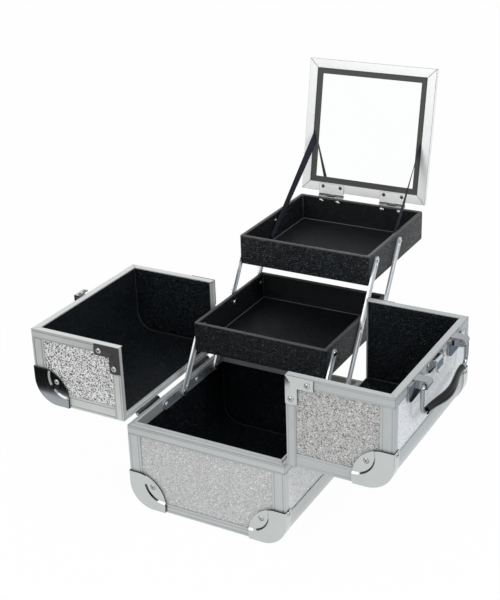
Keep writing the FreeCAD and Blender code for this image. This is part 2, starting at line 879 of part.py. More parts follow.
def mirror_frame():
    """Four mitred bars of the mirror frame."""
    half = mirror_width / 2
    low_left = V(-half, 0, mirror_rise)
    low_right = V(half, 0, mirror_rise)
    top_left = V(-half, 0, mirror_rise + mirror_height)
    top_right = V(half, 0, mirror_rise + mirror_height)
    low = frame_bar(low_left, low_right, z_axis, [(low_left, V(-1, 0, 1)), (low_right, V(1, 0, 1))])
    top = frame_bar(top_left, top_right, -z_axis, [(top_left, V(-1, 0, -1)), (top_right, V(1, 0, -1))])
    left = frame_bar(low_left, top_left, x_axis, [(low_left, V(1, 0, -1)), (top_left, V(1, 0, 1))])
    return [low, top, left, flip_x(left)]


def mirror_sheet(inset, y_low, y_high):
    """Flat sheet across the mirror frame, inset from the frame's outline."""
    half = mirror_width / 2 - inset
    return box(-half, half, y_low, y_high, mirror_rise + inset, mirror_rise + mirror_height - inset)


def mirror_leaf_half():
    """Leaf on the front of the mirror frame, ending in the middle barrel of the right hinge."""
    low = mirror_hinge_place - mirror_hinge_length / 2
    plate = box(
        low, low + mirror_hinge_length, -mirror_leaf, 0, 0, mirror_rise + mirror_leaf_up
    )
    axis = (V(low, 0, 0), x_axis)
    return hinge_half(plate, axis, mirror_hinge_length, mirror_knuckle_radius, mirror_pin_radius, 1)


def tray_leaf_half():
    """Leaf on the upper tray's back wall, ending in the outer barrels of the right hinge."""
    low = mirror_hinge_place - mirror_hinge_length / 2
    wall = upper_tray_front + tray_depth
    plate = box(
        low, low + mirror_hinge_length, wall, wall + mirror_leaf,
        mirror_axis_z - mirror_leaf_down, mirror_axis_z,
    )
    axis = (V(low, mirror_axis_y, mirror_axis_z), x_axis)
    leaf = hinge_half(plate, axis, mirror_hinge_length, mirror_knuckle_radius, mirror_pin_radius, 0)
    for rivet in mirror_rivets():
        leaf = leaf.cut(rivet)
    return leaf


def mirror_pieces():
    """The framed mirror, its hinges and the straps that stop it."""
    inset = frame_web + channel_play
    slot_front = frame_lip + channel_play
    glass_front = slot_front + border_sheet
    glass_back = glass_front + glass_sheet
    slot_back = frame_depth - frame_lip - channel_play
    ring = mirror_sheet(inset, slot_front, glass_front)
    ring = ring.cut(mirror_sheet(frame_band + border_show, -far, far))
    low = mirror_hinge_place - mirror_hinge_length / 2
    pin_start = V(low, mirror_axis_y, mirror_axis_z)
    pin = rod(mirror_pin_radius, pin_start, pin_start + x_axis * mirror_hinge_length)
    return {
        "mirror_frame": [leaning(bar) for bar in mirror_frame()],
        "mirror_border": [leaning(ring)],
        "mirror_glass": [leaning(mirror_sheet(inset, glass_front, glass_back))],
        "mirror_backing": [leaning(mirror_sheet(inset, glass_back, slot_back))],
        "mirror_hinge_leaves": left_and_right([leaning(mirror_leaf_half())]),
        "tray_hinge_leaves": left_and_right([tray_leaf_half()]),
        "mirror_hinge_pins": left_and_right([pin]),
        "mirror_straps": left_and_right([strap()]),
    }


def strap():
    """Ribbon from the upper tray's right wall to the mirror's border, turning a little on its way."""
    foot = V(
        half_tray - tray_wall - strap_wall_gap - strap_sheet / 2,
        upper_tray_front + strap_foot_from_front,
        upper_tray_top - strap_foot_drop,
    )
    tilt = math.radians(mirror_tilt)
    up = V(0, math.sin(tilt), math.cos(tilt))
    back = V(0, math.cos(tilt), -math.sin(tilt))
    seat = V(0, mirror_axis_y, mirror_axis_z) + back * (frame_lip + channel_play - strap_seat_gap)
    head = seat + up * (mirror_rise + strap_head_up) + x_axis * strap_head_across
    along = head - foot
    across = x_axis.cross(along)
    across.normalize()
    lay_end = foot + along * (strap_lay / along.Length)
    past = head + along * (strap_width / along.Length)
    sections = [ribbon_section(foot, across, x_axis)]
    for step in range(strap_sections + 1):
        share = step / strap_sections
        turn = math.radians(strap_turn * share)
        wide = across * math.cos(turn) + x_axis * math.sin(turn)
        thin = x_axis * math.cos(turn) - across * math.sin(turn)
        sections.append(ribbon_section(lay_end + (past - lay_end) * share, wide, thin))
    return Part.makeLoft(sections, True, True).cut(beyond(seat, back))


def ribbon_section(centre, wide, thin):
    """End outline of a ribbon, its width along one direction and its thickness along another."""
    a = wide * (strap_width / 2)
    b = thin * (strap_sheet / 2)
    corners = [centre - a - b, centre + a - b, centre + a + b, centre - a + b]
    return Part.makePolygon(corners + corners[:1])


def handle_pivot():
    """Middle of the right handle pivot's axis line on the open right lid."""
    panel = lid_outer - board_outside
    top = lid_under + right_lid_width
    return V(panel + handle_pivot_stand, 0, top - handle_pivot_drop)


def handle_plate():
    """Escutcheon with its pivot block at the far end of the handle."""
    panel = lid_outer - board_outside
    top = lid_under + right_lid_width - handle_plate_drop
    low = top - handle_plate_height
    y_low = handle_plate_place - handle_plate_width / 2
    plate = box(
        lid_outer, lid_outer + handle_plate_sheet, y_low, y_low + handle_plate_width, low, top
    )
    across = [edge for edge in plate.Edges if edge.BoundBox.DiagonalLength < handle_plate_sheet + touch]
    lower = [edge for edge in across if edge.BoundBox.ZMax < low + touch]
    plate = plate.makeFillet(handle_plate_corner, lower)
    seat = box(
        panel, lid_outer, y_low + handle_plate_corner, y_low + handle_plate_width - handle_plate_corner,
        low + handle_plate_corner, lid_under + right_lid_width - rim_band,
    )
    plate = plate.fuse(seat)
    pivot = handle_pivot()
    block_low = handle_block_place - handle_block_width / 2
    start = V(pivot.x, block_low, pivot.z)
    block = rod(handle_block_radius, start, start + y_axis * handle_block_width)
    web = box(
        lid_outer, pivot.x, block_low, block_low + handle_block_width,
        pivot.z - handle_block_radius, pivot.z + handle_block_radius,
    )
    plate = plate.fuse(block.fuse(web))
    bore_end = start + y_axis * (handle_block_width + cut_margin)
    bore = rod(bail_radius + running_clearance, start - y_axis * cut_margin, bore_end)
    return plate.cut(bore).removeSplitter()


def bail_leg_place():
    """How far each leg of the bail stands from the middle of the handle."""
    return handle_block_place + handle_block_width / 2 + handle_block_gap + bail_shoulder


def grip_reach():
    """Half the length of the grip."""
    return bail_leg_place() - bail_corner - grip_clear


def bail():
    """Far leg of the bail: a round bar turned in at the top as a pivot and at the foot as a tang."""
    pivot = handle_pivot()
    leg = bail_leg_place()
    tip = handle_block_place - handle_block_width / 2
    low = pivot.z - bail_depth
    bend = 1 - math.sqrt(0.5)

    def at(y, z):
        return V(pivot.x, y, z)

    spans = [
        (at(tip, pivot.z), at(leg - bail_shoulder, pivot.z)),
        (
            at(leg - bail_shoulder, pivot.z),
            at(leg - bail_shoulder * bend, pivot.z - bail_shoulder * bend),
            at(leg, pivot.z - bail_shoulder),
        ),
        (at(leg, pivot.z - bail_shoulder), at(leg, low + bail_corner)),
        (
            at(leg, low + bail_corner),
            at(leg - bail_corner * bend, low + bail_corner * bend),
            at(leg - bail_corner, low),
        ),
        (at(leg - bail_corner, low), at(grip_reach() - bail_tang, low)),
    ]
    edges = [Part.Arc(*span) if len(span) == 3 else Part.LineSegment(*span) for span in spans]
    path = Part.Wire([edge.toShape() for edge in edges])
    section = Part.Wire(Part.makeCircle(bail_radius, at(tip, pivot.z), y_axis))
    return path.makePipeShell([section], True, False)


def grip_section(share):
    """Oval section of the grip, at a share from -1 to 1 of its length."""
    pivot = handle_pivot()
    full = math.cos(share * math.pi / 2) ** 2
    tall = grip_end_tall + (grip_middle_tall - grip_end_tall) * full
    thick = grip_end_thick + (grip_middle_thick - grip_end_thick) * full
    low = pivot.z - bail_depth - grip_sag * full
    centre = V(pivot.x + grip_bow * full, share * grip_reach(), low)
    oval = Part.Ellipse(centre + z_axis * tall, centre + x_axis * thick, centre)
    return Part.Wire(oval.toShape())


def grip():
    """Moulded grip that bows outwards, fullest at its middle, on the tangs of the bail."""
    shares = [2 * step / (grip_sections - 1) - 1 for step in range(grip_sections)]
    body = Part.makeLoft([grip_section(share) for share in shares], True)
    for leg in front_and_back([bail()]):
        body = body.cut(leg)
    return body


def latch_axis():
    """Middle of the latch lever's pin."""
    top = lid_under + right_lid_width
    stand = latch_sheet + latch_lug_radius + latch_gap
    return V(lid_outer + stand, 0, top - latch_drop + latch_lug_radius)


def latch_body():
    """Plate with two round ears and the lugs that carry the lever's pin."""
    top = lid_under + right_lid_width
    middle = top - latch_drop
    axis = latch_axis()
    lug_inner = latch_lever_width / 2 + latch_gap
    lug_outer = lug_inner + latch_lug_width
    body = box(
        lid_outer, lid_outer + latch_sheet, -latch_ear_place, latch_ear_place,
        middle - latch_ear_radius, middle + latch_ear_radius,
    )
    for y in (-latch_ear_place, latch_ear_place):
        seat = V(lid_outer, y, middle)
        body = body.fuse(rod(latch_ear_radius, seat, seat + x_axis * latch_sheet))
    lug = rod(latch_lug_radius, V(axis.x, lug_inner, axis.z), V(axis.x, lug_outer, axis.z))
    foot = box(
        lid_outer, axis.x, lug_inner, lug_outer, axis.z - latch_lug_radius, axis.z + latch_lug_radius
    )
    lug = lug.fuse(foot)
    pin = rod(latch_pin_radius, V(axis.x, -lug_outer, axis.z), V(axis.x, lug_outer, axis.z))
    return body.fuse(lug).fuse(flip_y(lug)).fuse(pin).removeSplitter()


def latch_lever():
    """Thumb lever that hangs over the latch from its pin, its lower lip turned out."""
    axis = latch_axis()
    half = latch_lever_width / 2
    eye = rod(latch_lug_radius - latch_gap, V(axis.x, -half, axis.z), V(axis.x, half, axis.z))
    outer = axis.x + latch_lug_radius - latch_gap
    inner = outer - latch_lever_sheet
    low = axis.z - latch_lever_length
    points = [
        V(inner, -half, axis.z),
        V(outer, -half, axis.z),
        V(outer, -half, low + latch_lever_sheet),
        V(outer + latch_lever_sheet, -half, low),
        V(inner + latch_lever_sheet / 2, -half, low),
        V(inner, -half, low + latch_lever_sheet),
    ]
    lever = prism(points, V(0, latch_lever_width, 0)).fuse(eye)
    bore_end = y_axis * (half + cut_margin)
    bore = rod(latch_pin_radius + running_clearance, axis - bore_end, axis + bore_end)
    return lever.cut(bore).removeSplitter()


def latch_keeper():
    """Bent catch on the left lid, with two slots in the flange that stands over the seam."""
    top = lid_under + left_lid_width
    half = keeper_width / 2
    wall = -lid_outer
    out = wall - keeper_stand
    low = top - keeper_seat
    arm_top = top - keeper_arm_drop
    arm_low = arm_top - keeper_sheet
    flange_top = top + keeper_overhang
    flange_low = flange_top - keeper_sheet
    section = [
        (wall, low), (wall, arm_top), (out + keeper_sheet, arm_top), (out + keeper_sheet, flange_low),
        (out + keeper_flange, flange_low), (out + keeper_flange, flange_top), (out, flange_top),
        (out, arm_low), (wall - keeper_sheet, arm_low), (wall - keeper_sheet, low),
    ]
    catch = prism([V(x, -half, z) for x, z in section], V(0, keeper_width, 0))
    slot_inner = out + keeper_flange - keeper_sheet / 2
    for y in (-keeper_slot_place, keeper_slot_place):
        slot = box(
            slot_inner - keeper_slot_depth, slot_inner,
            y - keeper_slot_width / 2, y + keeper_slot_width / 2,
            flange_low - cut_margin, flange_top + cut_margin,
        )
        catch = catch.cut(slot)
    return catch


def handle_and_latch_pieces():
    """Carrying handle and latch on the right lid, and the keeper on the left lid."""
    return {
        "handle_plates": front_and_back([handle_plate()]),
        "handle_bail": front_and_back([bail()]),
        "handle_grip": [grip()],
        "latch_body": [latch_body()],
        "latch_lever": [latch_lever()],
        "latch_keeper": [latch_keeper()],
    }


def write_pieces(pieces):
    """Write each named piece as its own file."""
    os.makedirs("parts", exist_ok=True)
    for name, shapes in pieces.items():
        solids = [solid for shape in shapes for solid in shape.Solids]
        whole = solids[0] if len(solids) == 1 else Part.makeCompound(solids)
        whole.exportStep("parts/" + name + ".step")
        print(name, len(solids), whole.isValid(), round(whole.Volume, 1))


def main():
    """Build the case and write its pieces."""
    pieces = {}
    pieces.update(base_pieces())
    pieces.update(placed_lid(left_lid_width, "left"))
    pieces.update(placed_lid(right_lid_width, "right"))
    pieces.update(tray_pieces())
    pieces.update(mirror_pieces())
    pieces.update(handle_and_latch_pieces())
    write_pieces(pieces)


main()
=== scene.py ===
"""Dresses the makeup train case: finishes, cloth linings, covered trays, straps and fasteners."""

import logging
import math
from dataclasses import dataclass
from enum import Enum
from fnmatch import fnmatchcase
from functools import cached_property, lru_cache
from typing import Dict, Iterable, List, Optional, Sequence, Tuple, Union

import bmesh
import bpy
from mathutils import Matrix, Vector, noise


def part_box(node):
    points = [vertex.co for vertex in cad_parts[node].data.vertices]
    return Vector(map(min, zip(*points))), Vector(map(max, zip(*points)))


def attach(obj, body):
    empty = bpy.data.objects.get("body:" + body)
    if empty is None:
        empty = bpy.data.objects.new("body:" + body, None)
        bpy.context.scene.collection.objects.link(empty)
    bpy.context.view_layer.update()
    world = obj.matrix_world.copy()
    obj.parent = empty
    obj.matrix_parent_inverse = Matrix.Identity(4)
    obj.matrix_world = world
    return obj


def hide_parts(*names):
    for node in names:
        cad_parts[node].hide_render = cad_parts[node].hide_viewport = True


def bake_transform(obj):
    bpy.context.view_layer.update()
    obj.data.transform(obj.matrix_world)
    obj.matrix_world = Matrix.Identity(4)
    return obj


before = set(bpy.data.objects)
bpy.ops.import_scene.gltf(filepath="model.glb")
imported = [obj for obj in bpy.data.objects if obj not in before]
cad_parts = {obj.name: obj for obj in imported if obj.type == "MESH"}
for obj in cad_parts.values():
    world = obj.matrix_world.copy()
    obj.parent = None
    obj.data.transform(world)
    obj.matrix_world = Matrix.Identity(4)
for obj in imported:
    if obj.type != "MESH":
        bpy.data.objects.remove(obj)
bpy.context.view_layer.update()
LOG = logging.getLogger("train_case")
Object = bpy.types.Object
Material = bpy.types.Material
Colour = Tuple[float, float, float]
Spot = Tuple[float, float, float]
Point = Tuple[float, float]
Stops = Sequence[Tuple[float, Colour]]
Skin = Tuple[List[Vector], List[List[int]]]
Room = Tuple[Vector, Vector]
# The mirror's hinge line in Y and Z, the reach of its knuckles, and how far the open mirror leans back.
MIRROR_AXIS: Point = (0.313849, 0.248816)
MIRROR_KNUCKLE = 0.00225
MIRROR_TILT = math.radians(10.5)
# The lids' hinge lines in X and Z, and the reach of their knuckles.
LID_AXES: Tuple[Point, Point] = ((-0.103, 0.104), (0.103, 0.104))
LID_KNUCKLE = 0.00265
# Limits on the normals of a protector's cut walls, of its sloped step, and of that step's dark part, which
# take painted shade.
WALL_LEAN = 0.3
STEP_LEAN = 0.83
STEP_END = 0.11
STEP_LIT = 0.6075
# Edges sharper than this are broken, after points closer than this are welded.
SHARP = math.radians(32)
WELD = 0.00001


def grey(level: float, blue: float = 0.0) -> Colour:
    """A grey of one level, made slightly cooler by a share of blue."""
    return (level * (1 - blue), level, level * (1 + blue))


def darker(tone: Colour, share: float) -> Colour:
    """A share of a tone."""
    return tuple(share * level for level in tone)


def opaque(value: object) -> object:
    """A colour with its alpha, and anything else as it is."""
    return (*value, 1.0) if isinstance(value, tuple) and len(value) == 3 else value


class Value:
    """A socket that adds its own Math nodes when it is used in an expression."""

    def __init__(self, book: "NodeBook", socket: bpy.types.NodeSocket) -> None:
        """Keep the socket and the tree that it belongs to."""
        self.book = book
        self.socket = socket

    def _math(self, operation: str, first: "Number", second: "Number") -> "Value":
        """One Math node on two operands."""
        return self.book.node("ShaderNodeMath", {0: first, 1: second}, operation=operation)["Value"]

    def __add__(self, other: "Number") -> "Value":
        """Sum."""
        return self._math("ADD", self, other)

    __radd__ = __add__

    def __mul__(self, other: "Number") -> "Value":
        """Product."""
        return self._math("MULTIPLY", self, other)

    __rmul__ = __mul__

    def __sub__(self, other: "Number") -> "Value":
        """Difference."""
        return self._math("SUBTRACT", self, other)

    def __rsub__(self, other: "Number") -> "Value":
        """Difference from a number."""
        return self._math("SUBTRACT", other, self)

    def largest(self, other: "Number") -> "Value":
        """The larger of two values."""
        return self._math("MAXIMUM", self, other)


Number = Union[float, Value]


class NodeBook:
    """Adds nodes to one node tree."""

    def __init__(self, tree: bpy.types.NodeTree) -> None:
        """Start from an empty tree."""
        self.tree = tree
        tree.nodes.clear()

    def node(self, kind: str, inputs: Optional[dict] = None, **settings: object) -> Dict[str, Value]:
        """Add one node.

        Args:
            kind: The node's type.
            inputs: Values or links of its sockets, by name, identifier or number; a list links several.
            settings: Its own settings, which are set first; "stops" holds a ramp's places and colours.

        Returns:
            Its output sockets, by name and by identifier.
        """
        made = self.tree.nodes.new(kind)
        for key, setting in settings.items():
            if key == "stops":
                self._stops(made.color_ramp, setting)
            else:
                setattr(made, key, setting)
        for key, given in (inputs or {}).items():
            socket = self._socket(made.inputs, key)
            for value in given if isinstance(given, list) else [given]:
                if isinstance(value, Value):
                    self.tree.links.new(value.socket, socket)
                else:
                    socket.default_value = value
        outputs = {socket.name: Value(self, socket) for socket in reversed(made.outputs)}
        outputs.update({socket.identifier: Value(self, socket) for socket in made.outputs})
        return outputs

    @staticmethod
    def _stops(ramp: bpy.types.ColorRamp, stops: Stops) -> None:
        """Set a ramp's stops.

        Args:
            ramp: The ramp.
            stops: The place and colour of each stop.
        """
        while len(ramp.elements) < len(stops):
            ramp.elements.new(1.0)
        for element, (place, colour) in zip(ramp.elements, stops):
            element.position = place
            element.color = opaque(colour)

    @staticmethod
    def _socket(sockets: Sequence[bpy.types.NodeSocket], key: Union[str, int]) -> bpy.types.NodeSocket:
        """Find a socket by number, identifier or name."""
        named = (socket for socket in sockets if key in (socket.identifier, socket.name))
        return sockets[key] if isinstance(key, int) else next(named)

    def seen(self) -> Value:
        """1 for rays by which the camera, a reflection or glass sees a surface."""
        path = self.node("ShaderNodeLightPath")
        return path["Is Camera Ray"].largest(path["Is Glossy Ray"]).largest(path["Is Transmission Ray"])


class ShaderBook(NodeBook):
    """The node tree of one material."""

    def __init__(self, name: str) -> None:
        """Start an empty material.

        Args:
            name: The material's name.
        """
        self.material = bpy.data.materials.new(name)
        self.material.use_nodes = True
        super().__init__(self.material.node_tree)

    def place(self) -> Value:
        """The piece's own coordinates in metres."""
        return self.node("ShaderNodeTexCoord")["Object"]

    def noise(self, at: Value, scale: float, detail: float = 2.0, roughness: float = 0.5) -> Value:
        """Soft noise from 0 to 1."""
        inputs = {"Vector": at, "Scale": scale, "Detail": detail, "Roughness": roughness}
        return self.node("ShaderNodeTexNoise", inputs)["Fac"]

    def cells(self, at: Value, scale: float, feature: str = "F1") -> Dict[str, Value]:
        """Voronoi cells."""
        return self.node("ShaderNodeTexVoronoi", {"Vector": at, "Scale": scale}, feature=feature)

    def chance(self, cells: Dict[str, Value]) -> Dict[str, Value]:
        """Three random numbers for each cell."""
        return self.node("ShaderNodeSeparateColor", {"Color": cells["Color"]})

    def ramp(self, factor: Value, stops: Stops) -> Value:
        """Colour along a ramp."""
        return self.node("ShaderNodeValToRGB", {"Fac": factor}, stops=stops)["Color"]

    def smooth(self, value: Value, low: float, high: float) -> Value:
        """A soft step from 0 to 1 between two limits."""
        inputs = {"Value": value, "From Min": low, "From Max": high}
        return self.node("ShaderNodeMapRange", inputs, interpolation_type="SMOOTHSTEP")["Result"]

    def mix(self, factor: Number, first: Union[Value, Colour], second: Union[Value, Colour]) -> Value:
        """Colour between two colours."""
        inputs = {"Factor_Float": factor, "A_Color": opaque(first), "B_Color": opaque(second)}
        return self.node("ShaderNodeMix", inputs, data_type="RGBA")["Result_Color"]

    def bump(self, height: Value, depth: float, strength: float) -> Value:
        """A normal from a height of the given depth in metres."""
        inputs = {"Height": height, "Distance": depth, "Strength": strength}
        return self.node("ShaderNodeBump", inputs)["Normal"]

    def close(self, shader: Value) -> Material:
        """Put a shader at the output, which finishes the material."""
        self.node("ShaderNodeOutputMaterial", {"Surface": shader})
        return self.material

    def finish(self, **sockets: Union[Value, float, Colour]) -> Material:
        """Close the tree with a Principled shader, whose sockets have underscores for spaces."""
        inputs = {key.replace("_", " "): opaque(value) for key, value in sockets.items()}
        return self.close(self.node("ShaderNodeBsdfPrincipled", inputs)["BSDF"])


@dataclass(frozen=True)
class Finish:
    """A finish that is made once and shared by its pieces."""

    name: str

    def build(self, book: ShaderBook) -> Material:
        """The finish's own shader."""
        raise NotImplementedError

    @lru_cache(maxsize=None)
    def material(self) -> Material:
        """The material, built when it is first asked for."""
        return self.build(ShaderBook(self.name))


@dataclass(frozen=True)
class SatinMetal(Finish):
    """Rolled or plated metal with a fine grain and faint handling marks."""

    tone: Colour
    roughness: float
    grain: float = 2600.0
    marks: float = 45.0
    depth: float = 0.00002
    metal: float = 1.0
    shade: float = 0.86
    sway: float = 0.14
    tooth: float = 0.35

    def build(self, book: ShaderBook) -> Material:
        """Grain in the bump, clouds in the colour and roughness.

        Args:
            book: The material's empty tree.

        Returns:
            The material.
        """
        clouds = book.noise(book.place(), self.marks, detail=4.0, roughness=0.6)
        grain = book.noise(book.place(), self.grain)
        return book.finish(
            Base_Color=book.mix(clouds, darker(self.tone, self.shade), self.tone),
            Metallic=self.metal,
            Roughness=self.roughness + (clouds - 0.5) * self.sway,
            Normal=book.bump(grain, self.depth, self.tooth),
        )


@dataclass(frozen=True)
class GlitterBoard(Finish):
    """Board faced with silver glitter: bright flakes with dark ones among them."""

    flake: float
    dark_share: float
    dark: float
    bright: float
    dust: float
    blue: float = 0.0
    spark: float = 0.95
    spark_share: Point = (0.9, 0.93)
    blend: float = 0.08
    dark_top: float = 1.6
    dull: float = 0.66
    grains: float = 2.1
    grain_levels: Point = (0.4, 1.15)
    metal: float = 0.25
    gloss: Point = (0.3, 0.4)
    depth: float = 0.0003
    tooth: float = 0.3

    def build(self, book: ShaderBook) -> Material:
        """Random flakes set the colour, the gloss and the tilt.

        Args:
            book: The material's empty tree.

        Returns:
            The material.
        """
        at = book.place()
        cells = book.cells(at, 1 / self.flake)
        chance = book.chance(cells)
        fine = book.chance(book.cells(at, self.grains / self.flake))
        levels = (
            (0.0, self.dark),
            (self.dark_share, self.dark * self.dark_top),
            (self.dark_share + self.blend, self.bright * self.dull),
            (self.spark_share[0], self.bright),
            (self.spark_share[1], self.spark),
        )
        flakes = book.ramp(chance["Red"], [(place, grey(level, self.blue)) for place, level in levels])
        dust = book.mix(fine["Green"], *(grey(self.bright * level, self.blue) for level in self.grain_levels))
        return book.finish(
            Base_Color=book.mix(self.dust, flakes, dust),
            Metallic=self.metal,
            Roughness=self.gloss[0] + chance["Blue"] * self.gloss[1],
            Normal=book.bump(cells["Distance"], self.depth, self.tooth),
        )


@dataclass(frozen=True)
class PebbleVinyl(Finish):
    """Black covering cloth embossed with a pebble grain."""

    low: Colour
    high: Colour
    pebble: float
    roughness: float
    depth: float
    gloss: float
    bend: float = 0.0012
    bend_scale: float = 0.4
    slope: Point = (0.02, 0.32)
    glints: Point = (0.45, 1.0)
    clouds: float = 30.0
    shares: Spot = (0.15, 0.4, 0.6)
    sway: float = 0.2
    tooth: float = 0.9

    def build(self, book: ShaderBook) -> Material:
        """Rounded pebbles with tops painted paler and some cells painted brighter as glints, a painted sheen
        in clouds, and dull valleys.

        Args:
            book: The material's empty tree.

        Returns:
            The material.
        """
        at = book.place()
        inputs = {0: book.noise(at, self.bend_scale / self.pebble), 1: (self.bend,) * 3, 2: at}
        bent = book.node("ShaderNodeVectorMath", inputs, operation="MULTIPLY_ADD")["Vector"]
        valley = book.cells(bent, 1 / self.pebble, "DISTANCE_TO_EDGE")["Distance"]
        # Paler pebble tops and brighter random cells are painted glints; the clouds in the colour are a
        # painted sheen.
        top = book.smooth(valley, *self.slope)
        glinting = book.smooth(book.chance(book.cells(bent, 1 / self.pebble))["Red"], *self.glints)
        shade = book.noise(at, self.clouds, detail=3.0)
        least, sheen_share, glints = self.shares
        return book.finish(
            Base_Color=book.mix(top * (least + shade * sheen_share + glinting * glints), self.low, self.high),
            Roughness=self.roughness + (0.5 - top) * self.sway,
            Normal=book.bump(top, self.depth, self.tooth),
            Specular_IOR_Level=self.gloss,
        )


@dataclass(frozen=True)
class MirrorGlass(Finish):
    """Silvered glass with a faint haze."""

    haze: float = 18.0
    dim: Colour = (0.97, 0.98, 0.98)
    clear: Colour = (0.99, 0.995, 0.995)
    gloss: Point = (0.005, 0.02)

    def build(self, book: ShaderBook) -> Material:
        """A clean mirror whose gloss varies slightly.

        Args:
            book: The material's empty tree.

        Returns:
            The material.
        """
        haze = book.noise(book.place(), self.haze, detail=3.0)
        return book.finish(
            Base_Color=book.mix(haze, self.dim, self.clear),
            Metallic=1.0,
            Roughness=self.gloss[0] + haze * self.gloss[1],
        )


@dataclass(frozen=True)
class MattBoard(Finish):
    """Coated paper or moulded plastic with a slight mottle."""

    tone: Colour
    roughness: float
    fleck: float = 900.0
    gloss: float = 0.3
    cloud: float = 24.0
    shade: float = 0.7
    sway: float = 0.2
    depth: float = 0.00004
    tooth: float = 0.4

    def build(self, book: ShaderBook) -> Material:
        """Mottled tone over a fine tooth.

        Args:
            book: The material's empty tree.

        Returns:
            The material.
        """
        at = book.place()
        fleck = book.noise(at, self.fleck, detail=3.0)
        cloud = book.noise(at, self.cloud)
        return book.finish(
            Base_Color=book.mix(0.5 * fleck + 0.5 * cloud, darker(self.tone, self.shade), self.tone),
            Roughness=self.roughness + (fleck - 0.5) * self.sway,
            Normal=book.bump(fleck, self.depth, self.tooth),
            Specular_IOR_Level=self.gloss,
        )


@dataclass(frozen=True)
class WovenRibbon(Finish):
    """Flat woven ribbon with cross ribs and lengthwise cords, on the strap's own UV map."""

    tone: Colour
    ribs: float
    cords: float
    shares: Spot = (0.5, 0.3, 0.2)
    shade: float = 0.45
    dull: Point = (0.62, 0.2)
    depth: float = 0.0002
    tooth: float = 0.8
    gloss: float = 0.06

    def build(self, book: ShaderBook) -> Material:
        """Ribs across the ribbon and warp cords along it.

        Args:
            book: The material's empty tree.

        Returns:
            The material.
        """
        uv = book.node("ShaderNodeTexCoord")["UV"]
        parts = book.node("ShaderNodeSeparateXYZ", {"Vector": uv})
        rib = book.node("ShaderNodeMath", {0: parts["Y"] * self.ribs}, operation="SINE")["Value"]
        cord = book.node("ShaderNodeMath", {0: parts["X"] * self.cords}, operation="SINE")["Value"]
        middle, ribbed, corded = self.shares
        weave = middle + ribbed * rib + corded * cord
        return book.finish(
            Base_Color=book.mix(weave, darker(self.tone, self.shade), self.tone),
            Roughness=self.dull[0] + weave * self.dull[1],
            Normal=book.bump(weave, self.depth, self.tooth),
            Specular_IOR_Level=self.gloss,
        )


@dataclass(frozen=True)
class CardPaint(Finish):
    """Plain paint of a studio card."""

    tone: Colour

    def build(self, book: ShaderBook) -> Material:
        """One flat tone."""
        return book.close(book.node("ShaderNodeBsdfDiffuse", {"Color": opaque(self.tone)})["BSDF"])


@dataclass(frozen=True)
class FloorPaint(Finish):
    """Pale floor, white where it is seen, with a faint shadow."""

    tone: Colour
    glow: float

    def build(self, book: ShaderBook) -> Material:
        """Pale under light, and mostly its own white to the camera and in reflections.

        Args:
            book: The material's empty tree.

        Returns:
            The material.
        """
        pale = book.node("ShaderNodeBsdfDiffuse", {"Color": opaque(self.tone)})["BSDF"]
        white = book.node("ShaderNodeEmission", {"Color": opaque(grey(1.0)), "Strength": 1.0})["Emission"]
        glow = book.seen() * self.glow
        return book.close(book.node("ShaderNodeMixShader", {0: glow, 1: pale, 2: white})["Shader"])


ALUMINIUM = SatinMetal("satin_aluminium", (0.55, 0.57, 0.57), 0.34, metal=0.4)
# The left lid's aluminium is a paler copy and the right lid's a darker copy of the same metal: painted light
# and painted shade.
ALUMINIUM_PAINTED_LIGHT = SatinMetal("aluminium_painted_light", (0.73, 0.74, 0.73), 0.34, metal=0.4)
ALUMINIUM_PAINTED_SHADE = SatinMetal("aluminium_painted_shade", (0.5, 0.52, 0.52), 0.34, metal=0.4)
# Edge finishes are darker than their faces: painted shade along the broken edges.
ALUMINIUM_SHADED_EDGE = SatinMetal("aluminium_edge_painted_shade", (0.42, 0.44, 0.44), 0.3, metal=0.6)
FRAME_METAL = SatinMetal("frame_aluminium", grey(0.9, 0.004), 0.36, metal=0.4)
FRAME_SHADED_EDGE = SatinMetal("frame_edge_painted_shade", grey(0.4), 0.3, metal=0.7)
CHROME = SatinMetal("bright_chrome", (0.58, 0.61, 0.6), 0.09, depth=0.000004)
CHROME_SHADED_EDGE = SatinMetal("chrome_edge_painted_shade", grey(0.06), 0.2, depth=0.000004)
# Darker copies of the chrome: painted dark reflections.
CHROME_DARK_REFLECTION = SatinMetal("chrome_painted_dark_reflection", (0.36, 0.38, 0.4), 0.07, depth=0.000004)
CHROME_BLACK_REFLECTION = SatinMetal("chrome_painted_black_reflection", grey(0.06), 0.1, depth=0.000004)
HEAD_METAL = SatinMetal("fastener_metal", grey(0.5), 0.16, depth=0.000004)
DARK_HEAD = SatinMetal("dark_screw", grey(0.12), 0.3, depth=0.000004)
# Near black recess walls: painted shade in the screw hollows.
RECESS_PAINTED_SHADE = SatinMetal("fastener_recess_painted_shade", grey(0.03), 0.5)
ZINC = SatinMetal("zinc_plate", (0.74, 0.77, 0.79), 0.3, metal=0.55)
BRACKET_ZINC = SatinMetal("bracket_zinc", (0.5, 0.54, 0.58), 0.28, metal=0.7)
ZINC_SHADED_EDGE = SatinMetal("zinc_edge_painted_shade", grey(0.3, 0.012), 0.3)
# Near black hinge knuckles: painted shade under the barrels and between the knuckles.
KNUCKLE_PAINTED_SHADE = SatinMetal("hinge_knuckle_painted_shade", grey(0.1), 0.22, depth=0.000004)
